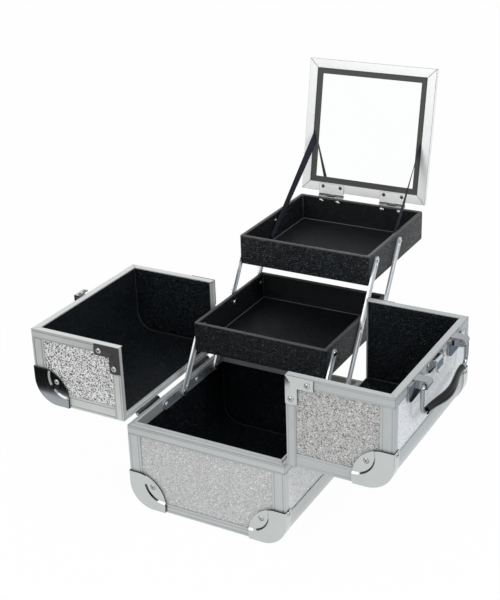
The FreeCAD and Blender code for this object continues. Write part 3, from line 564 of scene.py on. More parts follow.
# Four copies of one glitter board: their brightness per face is painted light and shade, lighter on the sides
# facing the key lamp; their share of dark flakes differs as well.
GLITTER_LEFT = GlitterBoard("glitter_left", 0.001, 0.28, 0.02, 0.95, 0.06)
GLITTER_RIGHT = GlitterBoard("glitter_right", 0.001, 0.13, 0.05, 0.56, 0.2, -0.01, 0.8)
GLITTER_BASE = GlitterBoard("glitter_base", 0.0008, 0.06, 0.16, 0.64, 0.25)
GLITTER_SIDE_LIT = GlitterBoard("glitter_side_painted_light", 0.0009, 0.06, 0.2, 0.9, 0.25, 0.01)
VINYL = PebbleVinyl("pebble_vinyl", grey(0.001), grey(0.11, 0.16), 0.0022, 0.34, 0.0012, 0.2)
# A lighter copy of the vinyl for the rolled lips: painted highlight.
VINYL_LIT_EDGE = PebbleVinyl("vinyl_edge_painted_highlight", grey(0.03), grey(0.07), 0.0023, 0.34, 0.0002, 0.5)
VINYL_INSIDE = PebbleVinyl("vinyl_inside", grey(0.004, 0.2), grey(0.016, 0.3), 0.0016, 0.3, 0.0003, 0.24)
# Lighter than the vinyl: painted highlights on the card's edge and the corner seams.
BINDING_PAINTED_HIGHLIGHT = PebbleVinyl("card_binding_painted_highlight", grey(0.08), grey(0.2, 0.05), 0.0012, 0.34, 0.0001, 0.4)
LINING = PebbleVinyl("lining_cloth", grey(0.0005, 0.4), grey(0.04, 0.4), 0.0025, 0.32, 0.0013, 0.2)
# Lighter than the lining: painted highlights along the welts.
WELT_PAINTED_HIGHLIGHT = PebbleVinyl("lining_welt_painted_highlight", grey(0.04), grey(0.12, 0.1), 0.0012, 0.4, 0.0001, 0.4)
GLASS = MirrorGlass("silvered_glass")
BORDER = MattBoard("border_print", (0.085, 0.085, 0.08), 0.6)
BACKING = MattBoard("backing_board", grey(0.03), 0.7)
RIBBON = WovenRibbon("ribbon_weave", (0.034, 0.038, 0.05), 3800.0, 5200.0)
GRIP = MattBoard("grip_plastic", grey(0.006), 0.12, 500.0, 0.15)
FLOOR = FloorPaint("floor", grey(0.9), 0.97)
DARK_CARD = CardPaint("dark_card", grey(0.02))
SIDE_CARD = CardPaint("side_card", (0.26, 0.32, 0.4))


class Edge(Enum):
    """How wide a CAD node's edges are broken."""

    FINE = 0.00025
    CREASED = 0.0003
    SOFT = 0.0004
    ROLLED = 0.00075


@dataclass(frozen=True)
class Dress:
    """What the CAD nodes of one pattern of names, and their broken edges, are finished with; the darker edge
    finish is painted shade.
    """

    nodes: str
    face: Finish
    edge: Optional[Finish] = None
    width: Edge = Edge.FINE


# The first pattern that fits a node's name holds.
WARDROBE: Tuple[Dress, ...] = (
    Dress("mirror_glass", GLASS),
    Dress("mirror_border", BORDER),
    Dress("mirror_backing", BACKING),
    Dress("mirror_straps", RIBBON),
    Dress("mirror_frame", FRAME_METAL, FRAME_SHADED_EDGE, Edge.SOFT),
    Dress("mirror_hinge_*", FRAME_METAL, KNUCKLE_PAINTED_SHADE, Edge.SOFT),
    Dress("tray_hinge_*", FRAME_METAL, KNUCKLE_PAINTED_SHADE, Edge.SOFT),
    Dress("tray_brackets", BRACKET_ZINC, ZINC_SHADED_EDGE),
    Dress("*_tray", VINYL),
    Dress("*_lining", LINING),
    Dress("right_lid_top_panel", GLITTER_SIDE_LIT),
    Dress("base_side_panels", GLITTER_SIDE_LIT),
    Dress("left_*_panel*", GLITTER_LEFT),
    Dress("right_*_panel*", GLITTER_RIGHT),
    Dress("base_*_panel*", GLITTER_BASE),
    Dress("*_hinge_leaves", ZINC, KNUCKLE_PAINTED_SHADE),
    Dress("*_hinge_pins", ZINC, ZINC_SHADED_EDGE),
    Dress("*_arms", ZINC, ZINC_SHADED_EDGE),
    Dress("*_screws", CHROME),
    Dress("*_fasteners", CHROME),
    Dress("*_rivets", CHROME),
    # The left lid's seam brackets and protectors, the handle's fittings and the latch body are chrome with
    # painted dark reflections.
    Dress("left_*_seam_brackets", CHROME_BLACK_REFLECTION, CHROME_SHADED_EDGE, Edge.CREASED),
    Dress("*_seam_brackets", CHROME, CHROME_SHADED_EDGE, Edge.CREASED),
    Dress("left_*_protectors", CHROME_DARK_REFLECTION, CHROME_SHADED_EDGE, Edge.ROLLED),
    Dress("*_protectors", CHROME, CHROME_SHADED_EDGE, Edge.ROLLED),
    Dress("handle_grip", GRIP),
    Dress("handle_*", CHROME_DARK_REFLECTION, CHROME_SHADED_EDGE),
    Dress("latch_body", CHROME_DARK_REFLECTION, CHROME_SHADED_EDGE),
    Dress("latch_*", CHROME, CHROME_SHADED_EDGE),
    # The left lid's aluminium parts take painted light; the right lid's take painted shade.
    Dress("left_*", ALUMINIUM_PAINTED_LIGHT, ALUMINIUM_SHADED_EDGE, Edge.SOFT),
    Dress("right_*", ALUMINIUM_PAINTED_SHADE, ALUMINIUM_SHADED_EDGE, Edge.SOFT),
    Dress("*", ALUMINIUM, ALUMINIUM_SHADED_EDGE, Edge.SOFT),
)


def painted_shade_faces(name: str, mesh: bpy.types.Mesh) -> List[int]:
    """Find the faces that take the edge finish too, as painted shade: hinge knuckles, and the protectors' cut
    walls and step.

    Args:
        name: The CAD node's name.
        mesh: Its mesh.

    Returns:
        The faces' numbers.
    """
    if name.endswith("hinge_leaves"):
        small = name.startswith(("mirror", "tray"))
        spots = [face.center.yz if small else face.center.xz for face in mesh.polygons]
        axes, radius = ((MIRROR_AXIS,), MIRROR_KNUCKLE) if small else (LID_AXES, LID_KNUCKLE)
        gaps = [min((spot - Vector(axis)).length for axis in axes) for spot in spots]
        return [index for index, gap in enumerate(gaps) if gap < radius]
    if not name.endswith("protectors"):
        return []
    picks = []
    for face in mesh.polygons:
        lean = abs(face.normal.y)
        inward = -math.copysign(1.0, face.center.x) * face.normal.x
        # Only a band of the step's faces, picked by how they lean, takes painted shade; the rest stays
        # bright.
        step = lean < STEP_LEAN and STEP_END < face.normal.z < STEP_LIT and not name.startswith("left")
        if (lean < WALL_LEAN or step) and max(face.normal.z, inward) > WALL_LEAN:
            picks.append(face.index)
    return picks


def break_edges(node: Object, width: Edge) -> None:
    """Round a CAD node's sharp edges and give them its second, darker finish, which paints shade along them.

    Args:
        node: The node's object.
        width: How wide its edges are broken.
    """
    weld = node.modifiers.new("weld", "WELD")
    weld.merge_threshold = WELD
    bevel = node.modifiers.new("broken_edges", "BEVEL")
    bevel.limit_method = "ANGLE"
    bevel.angle_limit = SHARP
    bevel.width = width.value
    bevel.segments = 2
    # The bevels take the darker edge finish: painted shade along the edges.
    bevel.material = 1
    if width is not Edge.CREASED:
        even = node.modifiers.new("even_shading", "WEIGHTED_NORMAL")
        even.weight = 100


def dress_nodes() -> None:
    """Give every CAD node its finish, and break the edges of the metal ones."""
    for name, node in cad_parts.items():
        dress = next(dress for dress in WARDROBE if fnmatchcase(name, dress.nodes))
        node.data.materials.clear()
        node.data.materials.append(dress.face.material())
        if dress.edge:
            node.data.materials.append(dress.edge.material())
            for index in painted_shade_faces(name, node.data):
                node.data.polygons[index].material_index = 1
            break_edges(node, dress.width)


def linked(name: str, data: bpy.types.ID) -> Object:
    """Make an object and put it into the scene.

    Args:
        name: Its name.
        data: Its mesh, lamp or camera.

    Returns:
        The new object.
    """
    made = bpy.data.objects.new(name, data)
    bpy.context.scene.collection.objects.link(made)
    return made


def new_piece(
    name: str, skin: Skin, finishes: Sequence[Finish], picks: Optional[Sequence[int]] = None
) -> Object:
    """Make a smooth mesh piece.

    Args:
        name: The piece's name.
        skin: Its points, in the case's frame, and its faces.
        finishes: Its finishes.
        picks: Which finish each face takes, if there are several.

    Returns:
        The new object.
    """
    points, faces = skin
    mesh = bpy.data.meshes.new(name)
    mesh.from_pydata([tuple(point) for point in points], [], faces)
    for finish in finishes:
        mesh.materials.append(finish.material())
    mesh.polygons.foreach_set("use_smooth", [True] * len(faces))
    if picks:
        mesh.polygons.foreach_set("material_index", picks)
    mesh.update()
    return linked(name, mesh)


def tidy(piece: Object, gap: float = 0.000005) -> Object:
    """Merge a piece's doubles and turn its faces outwards.

    Args:
        piece: The piece.
        gap: How close doubles lie.

    Returns:
        The same piece.
    """
    work = bmesh.new()
    work.from_mesh(piece.data)
    bmesh.ops.remove_doubles(work, verts=work.verts, dist=gap)
    bmesh.ops.recalc_face_normals(work, faces=work.faces)
    work.to_mesh(piece.data)
    work.free()
    piece.data.update()
    return piece


def joined(skins: Iterable[Skin]) -> Skin:
    """Put several skins into one.

    Args:
        skins: The skins, in order.

    Returns:
        The points and faces of all of them.
    """
    points: List[Vector] = []
    faces: List[List[int]] = []
    for more, extra in skins:
        faces += [[index + len(points) for index in face] for face in extra]
        points += more
    return points, faces


def grid_faces(rows: int, columns: int, turned: bool = False) -> List[List[int]]:
    """Faces of a grid of points that are listed row by row.

    Args:
        rows: How many faces it has one way.
        columns: How many it has the other way.
        turned: Whether its faces point the other way.

    Returns:
        The faces.
    """
    starts = [row * (columns + 1) + column for row in range(rows) for column in range(columns)]
    first, last = (1, columns + 1) if turned else (columns + 1, 1)
    return [[here, here + first, here + columns + 2, here + last] for here in starts]


def lofted(rings: Sequence[Sequence[Vector]]) -> Skin:
    """Faces between closed rings of equal length, with the first and last rings filled.

    Args:
        rings: The rings, in order.

    Returns:
        The points and the faces.
    """
    count = len(rings[0])
    points = [point for ring in rings for point in ring]
    faces = []
    for start in range(0, len(points) - count, count):
        for step in range(count):
            here, beside = start + step, start + (step + 1) % count
            faces.append([here, beside, beside + count, here + count])
    faces.append(list(reversed(range(count))))
    faces.append(list(range(len(points) - count, len(points))))
    return points, faces


def tube(path: Sequence[Vector], radius: float, sides: int = 8) -> Skin:
    """A round cord along a path that lies in one plane.

    Args:
        path: The points it follows.
        radius: Its radius.
        sides: How many sides its section has.

    Returns:
        The points and the faces.
    """
    # A straight path has no plane of its own, so it takes one.
    plane = (path[1] - path[0]).cross(path[-1] - path[0])
    plane = plane.normalized() if plane.length > 1e-9 else Vector((0, 1, 0))
    turns = [2 * math.pi * step / sides for step in range(sides)]
    rings = []
    for place, point in enumerate(path):
        ahead = path[min(place + 1, len(path) - 1)] - path[max(place - 1, 0)]
        side = ahead.normalized().cross(plane)
        rings.append([point + (side * math.cos(a) + plane * math.sin(a)) * radius for a in turns])
    return lofted(rings)


class Bend(Enum):
    """Which lower edges of a lining are rounded."""

    BOTH = "both"
    LEFT = "left"
    RIGHT = "right"


@dataclass(frozen=True)
class ClothLining:
    """Black cloth glued inside a board shell, with a welt where its ends meet the wrap."""

    node: str
    body: str
    bend: Bend
    radius: float = 0.0229
    arc_parts: int = 10
    thickness: float = 0.001
    cloth: float = 0.0008
    swell: float = 0.0004
    pucker: float = 0.00025
    coarse: float = 38.0
    fine: float = 90.0
    fine_share: float = 0.5
    fade: float = 4.0
    welt: float = 0.0005
    step: float = 0.005
    end_step: float = 0.6
    end_span: Point = (0.2, 0.6)

    def build(self) -> None:
        """Make the wrap and the ends as one cloth, and the welt along their joints."""
        low, high = self.room
        name = self.node.replace("lining", "cloth")
        skin = joined([self._wrap(), self._end(low.y, 1), self._end(high.y, -1)])
        piece = new_piece(name, skin, [LINING])
        wall = piece.modifiers.new("cloth", "SOLIDIFY")
        wall.thickness = self.cloth
        wall.offset = -1.0
        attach(piece, self.body)
        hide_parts(self.node)
        seams = self._welt()
        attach(seams, self.body)
        run = sum((b - a).length for a, b in zip(self.path, self.path[1:]))
        LOG.info("cloth lining %s", name)

    @cached_property
    def room(self) -> Room:
        """The room inside the boards.

        Returns:
            Its lowest and highest corners.
        """
        low, high = (Vector(corner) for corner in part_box(self.node))
        inset = Vector((self.thickness, self.thickness, self.thickness))
        low = low + inset
        high = Vector((high.x - inset.x, high.y - inset.y, high.z))
        if self.bend is Bend.LEFT:
            high.x += inset.x
        if self.bend is Bend.RIGHT:
            low.x -= inset.x
        return low, high

    @cached_property
    def path(self) -> List[Vector]:
        """The wrap's section in the XZ plane.

        Returns:
            Its points, from one upper edge to the other.
        """
        low, high = self.room
        left_arc = self._arc(low.x + self.radius, low.z + self.radius, math.pi, 1.5 * math.pi)
        right_arc = self._arc(high.x - self.radius, low.z + self.radius, 1.5 * math.pi, 2 * math.pi)
        left = [Vector((low.x, 0, high.z)), *left_arc]
        right = [*right_arc, Vector((high.x, 0, high.z))]
        if self.bend is Bend.RIGHT:
            left = [Vector((low.x, 0, low.z))]
        if self.bend is Bend.LEFT:
            right = [Vector((high.x, 0, low.z))]
        corners = left + right
        path = [corners[0]]
        for start, end in zip(corners, corners[1:]):
            parts = max(1, round((end - start).length / self.step))
            path += [start.lerp(end, part / parts) for part in range(1, parts + 1)]
        return path

    def _arc(self, x: float, z: float, start: float, end: float) -> List[Vector]:
        """Points of a rounded lower edge."""
        turns = [start + (end - start) * part / self.arc_parts for part in range(self.arc_parts + 1)]
        return [Vector((x + self.radius * math.cos(a), 0, z + self.radius * math.sin(a))) for a in turns]

    def _lift(self, across: float, along: float, spot: Vector) -> float:
        """How far the cloth stands off its board: a slight swell and soft puckers.

        Args:
            across: How far across the cloth, from 0 to 1.
            along: How far along it, from 0 to 1.
            spot: The place, for the puckers.

        Returns:
            The distance.
        """
        swell = math.sin(math.pi * across) * math.sin(math.pi * along)
        pucker = noise.noise(spot * self.coarse) + self.fine_share * noise.noise(spot * self.fine)
        from_edge = 1 - abs(2 * along - 1)
        return self.swell * swell + self.pucker * pucker * min(1.0, self.fade * from_edge)

    def _wrap(self) -> Skin:
        """The cloth over the walls and floor that run along the case.

        Returns:
            The points and the faces.
        """
        low, high = self.room
        last = len(self.path) - 1
        columns = round((high.y - low.y) / self.step)
        points = []
        for row, point in enumerate(self.path):
            before, after = self.path[max(row - 1, 0)], self.path[min(row + 1, last)]
            inward = Vector((0, 1, 0)).cross(after - before).normalized() * -1
            for column in range(columns + 1):
                along = column / columns
                spot = Vector((point.x, low.y + (high.y - low.y) * along, point.z))
                points.append(spot + inward * self._lift(row / last, along, spot))
        return points, grid_faces(last, columns)

    def _end(self, y: float, facing: int) -> Skin:
        """The cloth on one end wall, shaped to the wrap's section.

        Args:
            y: Where the wall stands.
            facing: Which way it faces, 1 or -1.

        Returns:
            The points and the faces.
        """
        low, high = self.room
        start, span = self.end_span
        columns = round((high.x - low.x) / (self.end_step * self.step))
        rows = round((high.z - low.z) / self.step)
        points = []
        for column in range(columns + 1):
            x = low.x + (high.x - low.x) * column / columns
            foot = low.z
            if self.bend is not Bend.RIGHT and x < low.x + self.radius:
                foot += self._rise(low.x + self.radius - x)
            if self.bend is not Bend.LEFT and x > high.x - self.radius:
                foot += self._rise(x - high.x + self.radius)
            for row in range(rows + 1):
                up = row / rows
                spot = Vector((x, y, foot + (high.z - foot) * up))
                spot.y += facing * max(0.0, self._lift(column / columns, start + span * up, spot))
                points.append(spot)
        faces = grid_faces(columns, rows, turned=True)
        return points, faces if facing > 0 else [face[::-1] for face in faces]

    def _rise(self, aside: float) -> float:
        """How high a rounded lower edge has risen, at a distance from where it starts."""
        return self.radius - math.sqrt(max(0.0, self.radius ** 2 - aside ** 2))

    def _welt(self) -> Object:
        """Fine cords along the joints of the wrap and the ends, painted lighter as highlights.

        Returns:
            The piece.
        """
        low, high = self.room
        cords = []
        for y in (low.y + self.welt / 2, high.y - self.welt / 2):
            cords.append(tube([Vector((spot.x, y, spot.z)) for spot in self.path], self.welt))
        return tidy(new_piece(self.node.replace("lining", "welts"), joined(cords), [WELT_PAINTED_HIGHLIGHT]))


@dataclass(frozen=True)
class CoveredTray:
    """Board tray covered in pebbled vinyl, with a loose card on its floor."""

    node: str
    wall: float = 0.0045
    floor: float = 0.004
    corner: float = 0.0025
    lip: float = 0.0014
    foot: float = 0.0012
    fillet: float = 0.0012
    inner_corner: float = 0.8
    card: float = 0.001
    card_gap: float = 0.0009
    bead: float = 0.0005
    binding: float = 2.4
    seam: float = 0.0004
    turns: int = 6

    def build(self) -> None:
        """Make the covered shell, the card and the corner seams."""
        shell = self._shell()
        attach(shell, self.node)
        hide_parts(self.node)
        for piece in (self._card(), self._seams()):
            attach(piece, self.node)
        LOG.info("covered tray %s", self.node)

    @cached_property
    def room(self) -> Room:
        """The tray's lowest and highest corners."""
        low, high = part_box(self.node)
        return Vector(low), Vector(high)

    def _seams(self) -> Object:
        """Rolled seams of the covering in the four inside corners, painted lighter as highlights.

        Returns:
            The piece.
        """
        low, high = self.room
        inset = self.wall + self.seam
        foot, top = low.z + self.floor, high.z - self.lip
        cords = []
        for x in (low.x + inset, high.x - inset):
            for y in (low.y + inset, high.y - inset):
                cords.append(tube([Vector((x, y, foot)), Vector((x, y, top))], self.seam))
        return tidy(new_piece(self.node + "_corner_seams", joined(cords), [BINDING_PAINTED_HIGHLIGHT]))

    def _ring(self, inset: float, z: float, radius: float) -> List[Vector]:
        """A rounded rectangle at one level.

        Args:
            inset: How far it lies inside the tray's box.
            z: Its level.
            radius: The radius of its corners.

        Returns:
            Its points.
        """
        low, high = self.room
        reach = inset + radius
        left, right = low.x + reach, high.x - reach
        front, back = low.y + reach, high.y - reach
        ring = []
        for turn, (x, y) in enumerate(((right, back), (left, back), (left, front), (right, front))):
            for part in range(self.turns + 1):
                angle = math.pi / 2 * (turn + part / self.turns)
                ring.append(Vector((x, y, z)) + Vector((math.cos(angle), math.sin(angle), 0)) * radius)
        return ring

    def _round(self, inset: float, z: float, radius: float, start: float, end: float) -> List[Point]:
        """Insets and levels along a turn round a centre."""
        angles = [start + (end - start) * part / self.turns for part in range(self.turns + 1)]
        return [(inset + radius * math.cos(a), z + radius * math.sin(a)) for a in angles]

    def _shell(self) -> Object:
        """Outside, rolled lip, inside and floor as one closed skin.

        Returns:
            The piece.
        """
        low, high = self.room
        quarter = math.pi / 2
        top, base = high.z - self.lip, low.z + self.floor
        tight = self.inner_corner * self.fillet
        foot = self._round(self.foot, low.z + self.foot, self.foot, 3 * quarter, 2 * quarter)
        outer_lip = self._round(self.lip, top, self.lip, 2 * quarter, quarter)
        inner_lip = self._round(self.wall - self.lip, top, self.lip, quarter, 0)
        cove = self._round(self.wall + self.fillet, base + self.fillet, self.fillet, 2 * quarter, 3 * quarter)
        rings = [self._ring(max(0.0, inset), z, self.corner) for inset, z in foot + outer_lip]
        rings += [self._ring(max(0.0, inset), z, tight) for inset, z in inner_lip + cove]
        # The rolled lip takes the lighter lip finish: a painted highlight.
        rows = [0] * len(foot) + [1] * (len(outer_lip + inner_lip) - 1) + [2] * len(cove)
        picks = [row for row in rows for _ in rings[0]] + [0, 2]
        finishes = [VINYL, VINYL_LIT_EDGE, VINYL_INSIDE]
        return tidy(new_piece(self.node + "_cover", lofted(rings), finishes, picks))

    def _card(self) -> Object:
        """Card with a bound edge, painted lighter as a highlight, a hair short of the walls.

        Returns:
            The piece.
        """
        inset = self.wall + self.card_gap
        base = self.room[0].z + self.floor
        bead = self._round(self.bead, self.card, self.bead, math.pi, 0)
        levels = [(0.0, 0.0), *bead, (self.binding * self.bead, self.card)]
        skin = lofted([self._ring(inset + across, base + up, self.fillet) for across, up in levels])
        picks = [1] * (len(skin[1]) - 2) + [0, 0]
        return tidy(new_piece(self.node + "_floor_card", skin, [VINYL_INSIDE, BINDING_PAINTED_HIGHLIGHT], picks))


@dataclass(frozen=True)
class MirrorStrap:
    """Ribbon from the upper tray's side wall to the mirror's border, turning a little on its way."""

    side: int
    width: float = 0.010
    thickness: float = 0.0007
    foot: Spot = (0.0813, 0.21415, 0.218316)
    head: Spot = (0.0730, 0.32862, 0.32358)
    lay: float = 0.034
    turn: float = 28.0
    bends: Point = (0.1, 0.95)
    rows: int = 60
    columns: int = 6

    def build(self) -> None:
        """Make the ribbon with its UV map, set it in the case's frame and hide the CAD straps."""
        skin = lofted([self._ring(row / self.rows) for row in range(self.rows + 1)])
        piece = new_piece("mirror_strap_" + ("right" if self.side > 0 else "left"), skin, [RIBBON])
        self._unwrap(piece)
        tidy(piece)
        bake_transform(piece)
        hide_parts("mirror_straps")
        LOG.info("strap %s", piece.name)

    @cached_property
    def along(self) -> Vector:
        """The right strap's run from foot to head."""
        return Vector(self.head) - Vector(self.foot)

    def _ring(self, share: float) -> List[Vector]:
        """Section of the strap, cut off along the mirror's border.

        Args:
            share: How far along the strap it lies, from 0 to 1.

        Returns:
            Its points.
        """
        length, ahead, aside = self.along.length, self.along.normalized(), Vector((1, 0, 0))
        across = aside.cross(self.along).normalized()
        back = Vector((0, math.cos(MIRROR_TILT), -math.sin(MIRROR_TILT)))
        lay = self.lay / length
        angle = math.radians(self.turn) * max(0.0, (share - lay) / (1 - lay))
        wide = across * math.cos(angle) + aside * math.sin(angle)
        thin = aside * math.cos(angle) - across * math.sin(angle)
        ring = []
        for face in (-1, 1):
            for column in range(self.columns + 1):
                place = (2 * column / self.columns - 1) * -face
                spot = wide * (place * self.width / 2) + thin * (face * self.thickness / 2)
                reach = length - spot.dot(back) / ahead.dot(back)
                point = Vector(self.foot) + ahead * (reach * share) + spot
                ring.append(Vector((self.side * point.x, point.y, point.z)))
        return ring

    def _unwrap(self, piece: Object) -> None:
        """Add a UV map in metres, across the ribbon and along it.

        Args:
            piece: The ribbon.
        """
        layer = piece.data.uv_layers.new(name="UVMap")
        length = self.along.length
        for loop in piece.data.loops:
            row, step = divmod(loop.vertex_index, 2 * (self.columns + 1))
            column = step % (self.columns + 1)
            layer.data[loop.index].uv = (self.width * column / self.columns, length * row / self.rows)


class Head(Enum):
    """Kinds of fastener head, by the length of their cross recess as a share of the radius."""

    RIVET = 0.0
    CROSS = 0.85


class HeadTree(NodeBook):
    """Geometry Nodes that set a flanged dome, with or without a cross recess, on every point."""

    name: str = "fastener_heads"
    kinds: Dict[str, str] = {
        "Geometry": "Geometry", "Radius": "Float", "Rise": "Float", "Recess": "Float", "Seed": "Int",
        "Finish": "Material", "Hollow": "Material",
    }
    sides: int = 32
    rings: int = 16
    slot_width: float = 0.2
    slot_depth: float = 1.2
    slot_lift: float = 1.05
    flange_reach: float = 1.14
    flange_depth: float = 0.36

    def __init__(self) -> None:
        """Start the group with its named inputs."""
        super().__init__(bpy.data.node_groups.new(self.name, "GeometryNodeTree"))
        face = self.tree.interface
        for name, kind in self.kinds.items():
            face.new_socket(name, in_out="INPUT", socket_type="NodeSocket" + kind)
        face.new_socket("Geometry", in_out="OUTPUT", socket_type="NodeSocketGeometry")
        self.given = self.node("NodeGroupInput")

    def build(self) -> bpy.types.NodeTree:
        """Set the heads on their points and close the tree.

        Returns:
            The tree.
        """
        points = self._shape("MeshToPoints", "Points", Mesh=self.given["Geometry"])
        places = {"Points": points, "Instance": self._head(), "Rotation": self._turn()}
        heads = self._shape("InstanceOnPoints", "Instances", **places)
        shaded = self._shape("SetShadeSmooth", Geometry=self._shape("RealizeInstances", Geometry=heads))
        plated = 1 - self._shape("MaterialSelection", "Selection", Material=self.given["Hollow"])
        dressed = self._shape("SetMaterial", Geometry=shaded, Selection=plated, Material=self.given["Finish"])
        self.node("NodeGroupOutput", {"Geometry": dressed})
        return self.tree

    def _shape(self, kind: str, output: str = "Geometry", **inputs: object) -> Value:
        """One output of a geometry node."""
        return self.node("GeometryNode" + kind, inputs)[output]

    def _painted(self, shape: Value, finish: str) -> Value:
        """A shape in one of the group's materials."""
        return self._shape("SetMaterial", Geometry=shape, Material=self.given[finish])

    def _vector(self, *parts: Number) -> Value:
        """A vector of three numbers."""
        return self.node("ShaderNodeCombineXYZ", dict(enumerate(parts)))["Vector"]

    def _head(self) -> Value:
        """One head at the origin: a dome, cut by two bars if it has a recess, on its flange.

        Returns:
            Its geometry.
        """
        radius, rise, recess = (self.given[name] for name in ("Radius", "Rise", "Recess"))
        ball = self._shape("MeshUVSphere", "Mesh", Segments=self.sides, Rings=self.rings, Radius=1.0)
        dome = self._shape("Transform", Geometry=ball, Scale=self._vector(radius, radius, rise))
        dome = self._painted(dome, "Finish")
        lift = self._vector(0.0, 0.0, rise * self.slot_lift)
        length, width, depth = radius * recess, radius * self.slot_width, rise * self.slot_depth
        bars = []
        # The recess walls take the Hollow material, which is painted shade.
        for x, y in ((length, width), (width, length)):
            bar = self._shape("MeshCube", "Mesh", Size=self._vector(x, y, depth))
            bars.append(self._painted(self._shape("Transform", Geometry=bar, Translation=lift), "Hollow"))
        cut = self.node("GeometryNodeMeshBoolean", {"Mesh 1": dome, "Mesh 2": bars}, operation="DIFFERENCE")
        choice = {"Switch": recess, "False": dome, "True": cut["Mesh"]}
        top = self.node("GeometryNodeSwitch", choice, input_type="GEOMETRY")["Output"]
        sizes = {"Radius": radius * self.flange_reach, "Depth": rise * self.flange_depth}
        flange = self._shape("MeshCylinder", "Mesh", Vertices=self.sides, **sizes)
        return self._shape("JoinGeometry", Geometry=[top, self._painted(flange, "Finish")])

    def _turn(self) -> Value:
        """How each head stands on its seat, with a random spin.

        Returns:
            The rotation.
        """
        named = self.node("GeometryNodeInputNamedAttribute", {"Name": "axis"}, data_type="FLOAT_VECTOR")
        stand = self.node("FunctionNodeAlignRotationToVector", {"Vector": named["Attribute"]}, axis="Z")
        chance = self.node("FunctionNodeRandomValue", {"Max_001": math.pi, "Seed": self.given["Seed"]})
        way = {"Axis": (0, 0, 1), "Angle": chance["Value_001"]}
        spin = self.node("FunctionNodeAxisAngleToRotation", way)["Rotation"]
        turns = {"Rotation": stand["Rotation"], "Rotate By": spin}
        return self.node("FunctionNodeRotateRotation", turns, rotation_space="LOCAL")["Rotation"]


@dataclass(frozen=True)
class FastenerHeads:
    """Domed fastener heads on one body, over the solids of a CAD node or on given seats."""

    name: str
    body: str
    head: Head
    node: str = ""
    replaces: bool = False
    finish: Finish = HEAD_METAL
    seed: int = 3
    merge: float = 0.000002
    rim: float = 0.97
    least_rise: float = 0.0001

    def build(self) -> None:
        """Find the CAD node's heads and set a dome on each."""
        found = [seat for part in self._parts() for seat in self._seats(part)]
        radius = sum(seat[2] for seat in found) / len(found)
        rise = sum(seat[3] for seat in found) / len(found)
        piece = self.bake([(place, way) for place, way, _, _ in found], radius, rise)
        if self.replaces:
            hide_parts(self.node)

    def bake(self, seats: Sequence[Tuple[Vector, Vector]], radius: float, rise: float) -> Object:
        """Set the heads on their seats as one plain mesh.

        Args:
            seats: Where each head sits and which way it faces.
            radius: The heads' radius.
            rise: Their height.

        Returns:
            The baked piece.
        """
        tree = bpy.data.node_groups.get(HeadTree.name) or HeadTree().build()
        seat_mesh = bpy.data.meshes.new(self.name + "_seats")
        seat_mesh.from_pydata([tuple(place) for place, _ in seats], [], [])
        axis = seat_mesh.attributes.new("axis", "FLOAT_VECTOR", "POINT")
        axis.data.foreach_set("vector", [value for _, way in seats for value in way])
        maker = linked(self.name + "_seats", seat_mesh)
        heads = maker.modifiers.new("heads", "NODES")
        heads.node_group = tree
        sizes = {"Radius": radius, "Rise": rise, "Recess": self.head.value, "Seed": self.seed}
        sizes.update({"Finish": self.finish.material(), "Hollow": RECESS_PAINTED_SHADE.material()})
        for socket in tree.interface.items_tree:
            if socket.in_out == "INPUT" and socket.name in sizes:
                heads[socket.identifier] = sizes[socket.name]
        ready = maker.evaluated_get(bpy.context.evaluated_depsgraph_get())
        mesh = bpy.data.meshes.new_from_object(ready)
        mesh.name = self.name
        bpy.data.objects.remove(maker)
        piece = linked(self.name, mesh)
        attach(piece, self.body)
        LOG.info("%d heads in %s", len(seats), self.name)
        return piece

    def _parts(self) -> List[List[Vector]]:
        """The node's separate solids, in the order of its mesh.

        Returns:
            The points of each.
        """
        work = bmesh.new()
        work.from_mesh(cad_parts[self.node].data)
        bmesh.ops.remove_doubles(work, verts=work.verts, dist=self.merge)
        parts = []
        left = set(work.verts)
        for start in work.verts:
            if start not in left:
                continue
            left.remove(start)
            found, edge = [], [start]
            while edge:
                spot = edge.pop()
                found.append(spot.co.copy())
                for link in spot.link_edges:
                    other = link.other_vert(spot)
                    if other in left:
                        left.remove(other)
                        edge.append(other)
            parts.append(found)
        work.free()
        return parts

    def _seats(self, part: Sequence[Vector]) -> List[Tuple[Vector, Vector, float, float]]:
        """Find the heads of one solid.

        Args:
            part: The solid's points.

        Returns:
            Seat, direction, radius and rise of each head.
        """
        low = Vector([min(point[axis] for point in part) for axis in range(3)])
        high = Vector([max(point[axis] for point in part) for axis in range(3)])
        size, middle = high - low, (low + high) / 2
        odd = min(range(3), key=lambda axis: abs(size[axis - 1] - size[axis - 2]))
        radius = max(size[axis] for axis in range(3) if axis != odd) / 2
        rims = []
        for point in part:
            aside = point - middle
            aside[odd] = 0.0
            if aside.length > self.rim * radius:
                rims.append(point[odd])
        seats = []
        for level in {round(min(rims), 5), round(max(rims), 5)}:
            sides = ((level - low[odd], -1), (high[odd] - level, 1))
            rise, sign = min(side for side in sides if side[0] > self.least_rise)
            seat = middle.copy()
            seat[odd] = level
            seats.append((seat, Vector([sign * (axis == odd) for axis in range(3)]), radius, rise))
        return seats


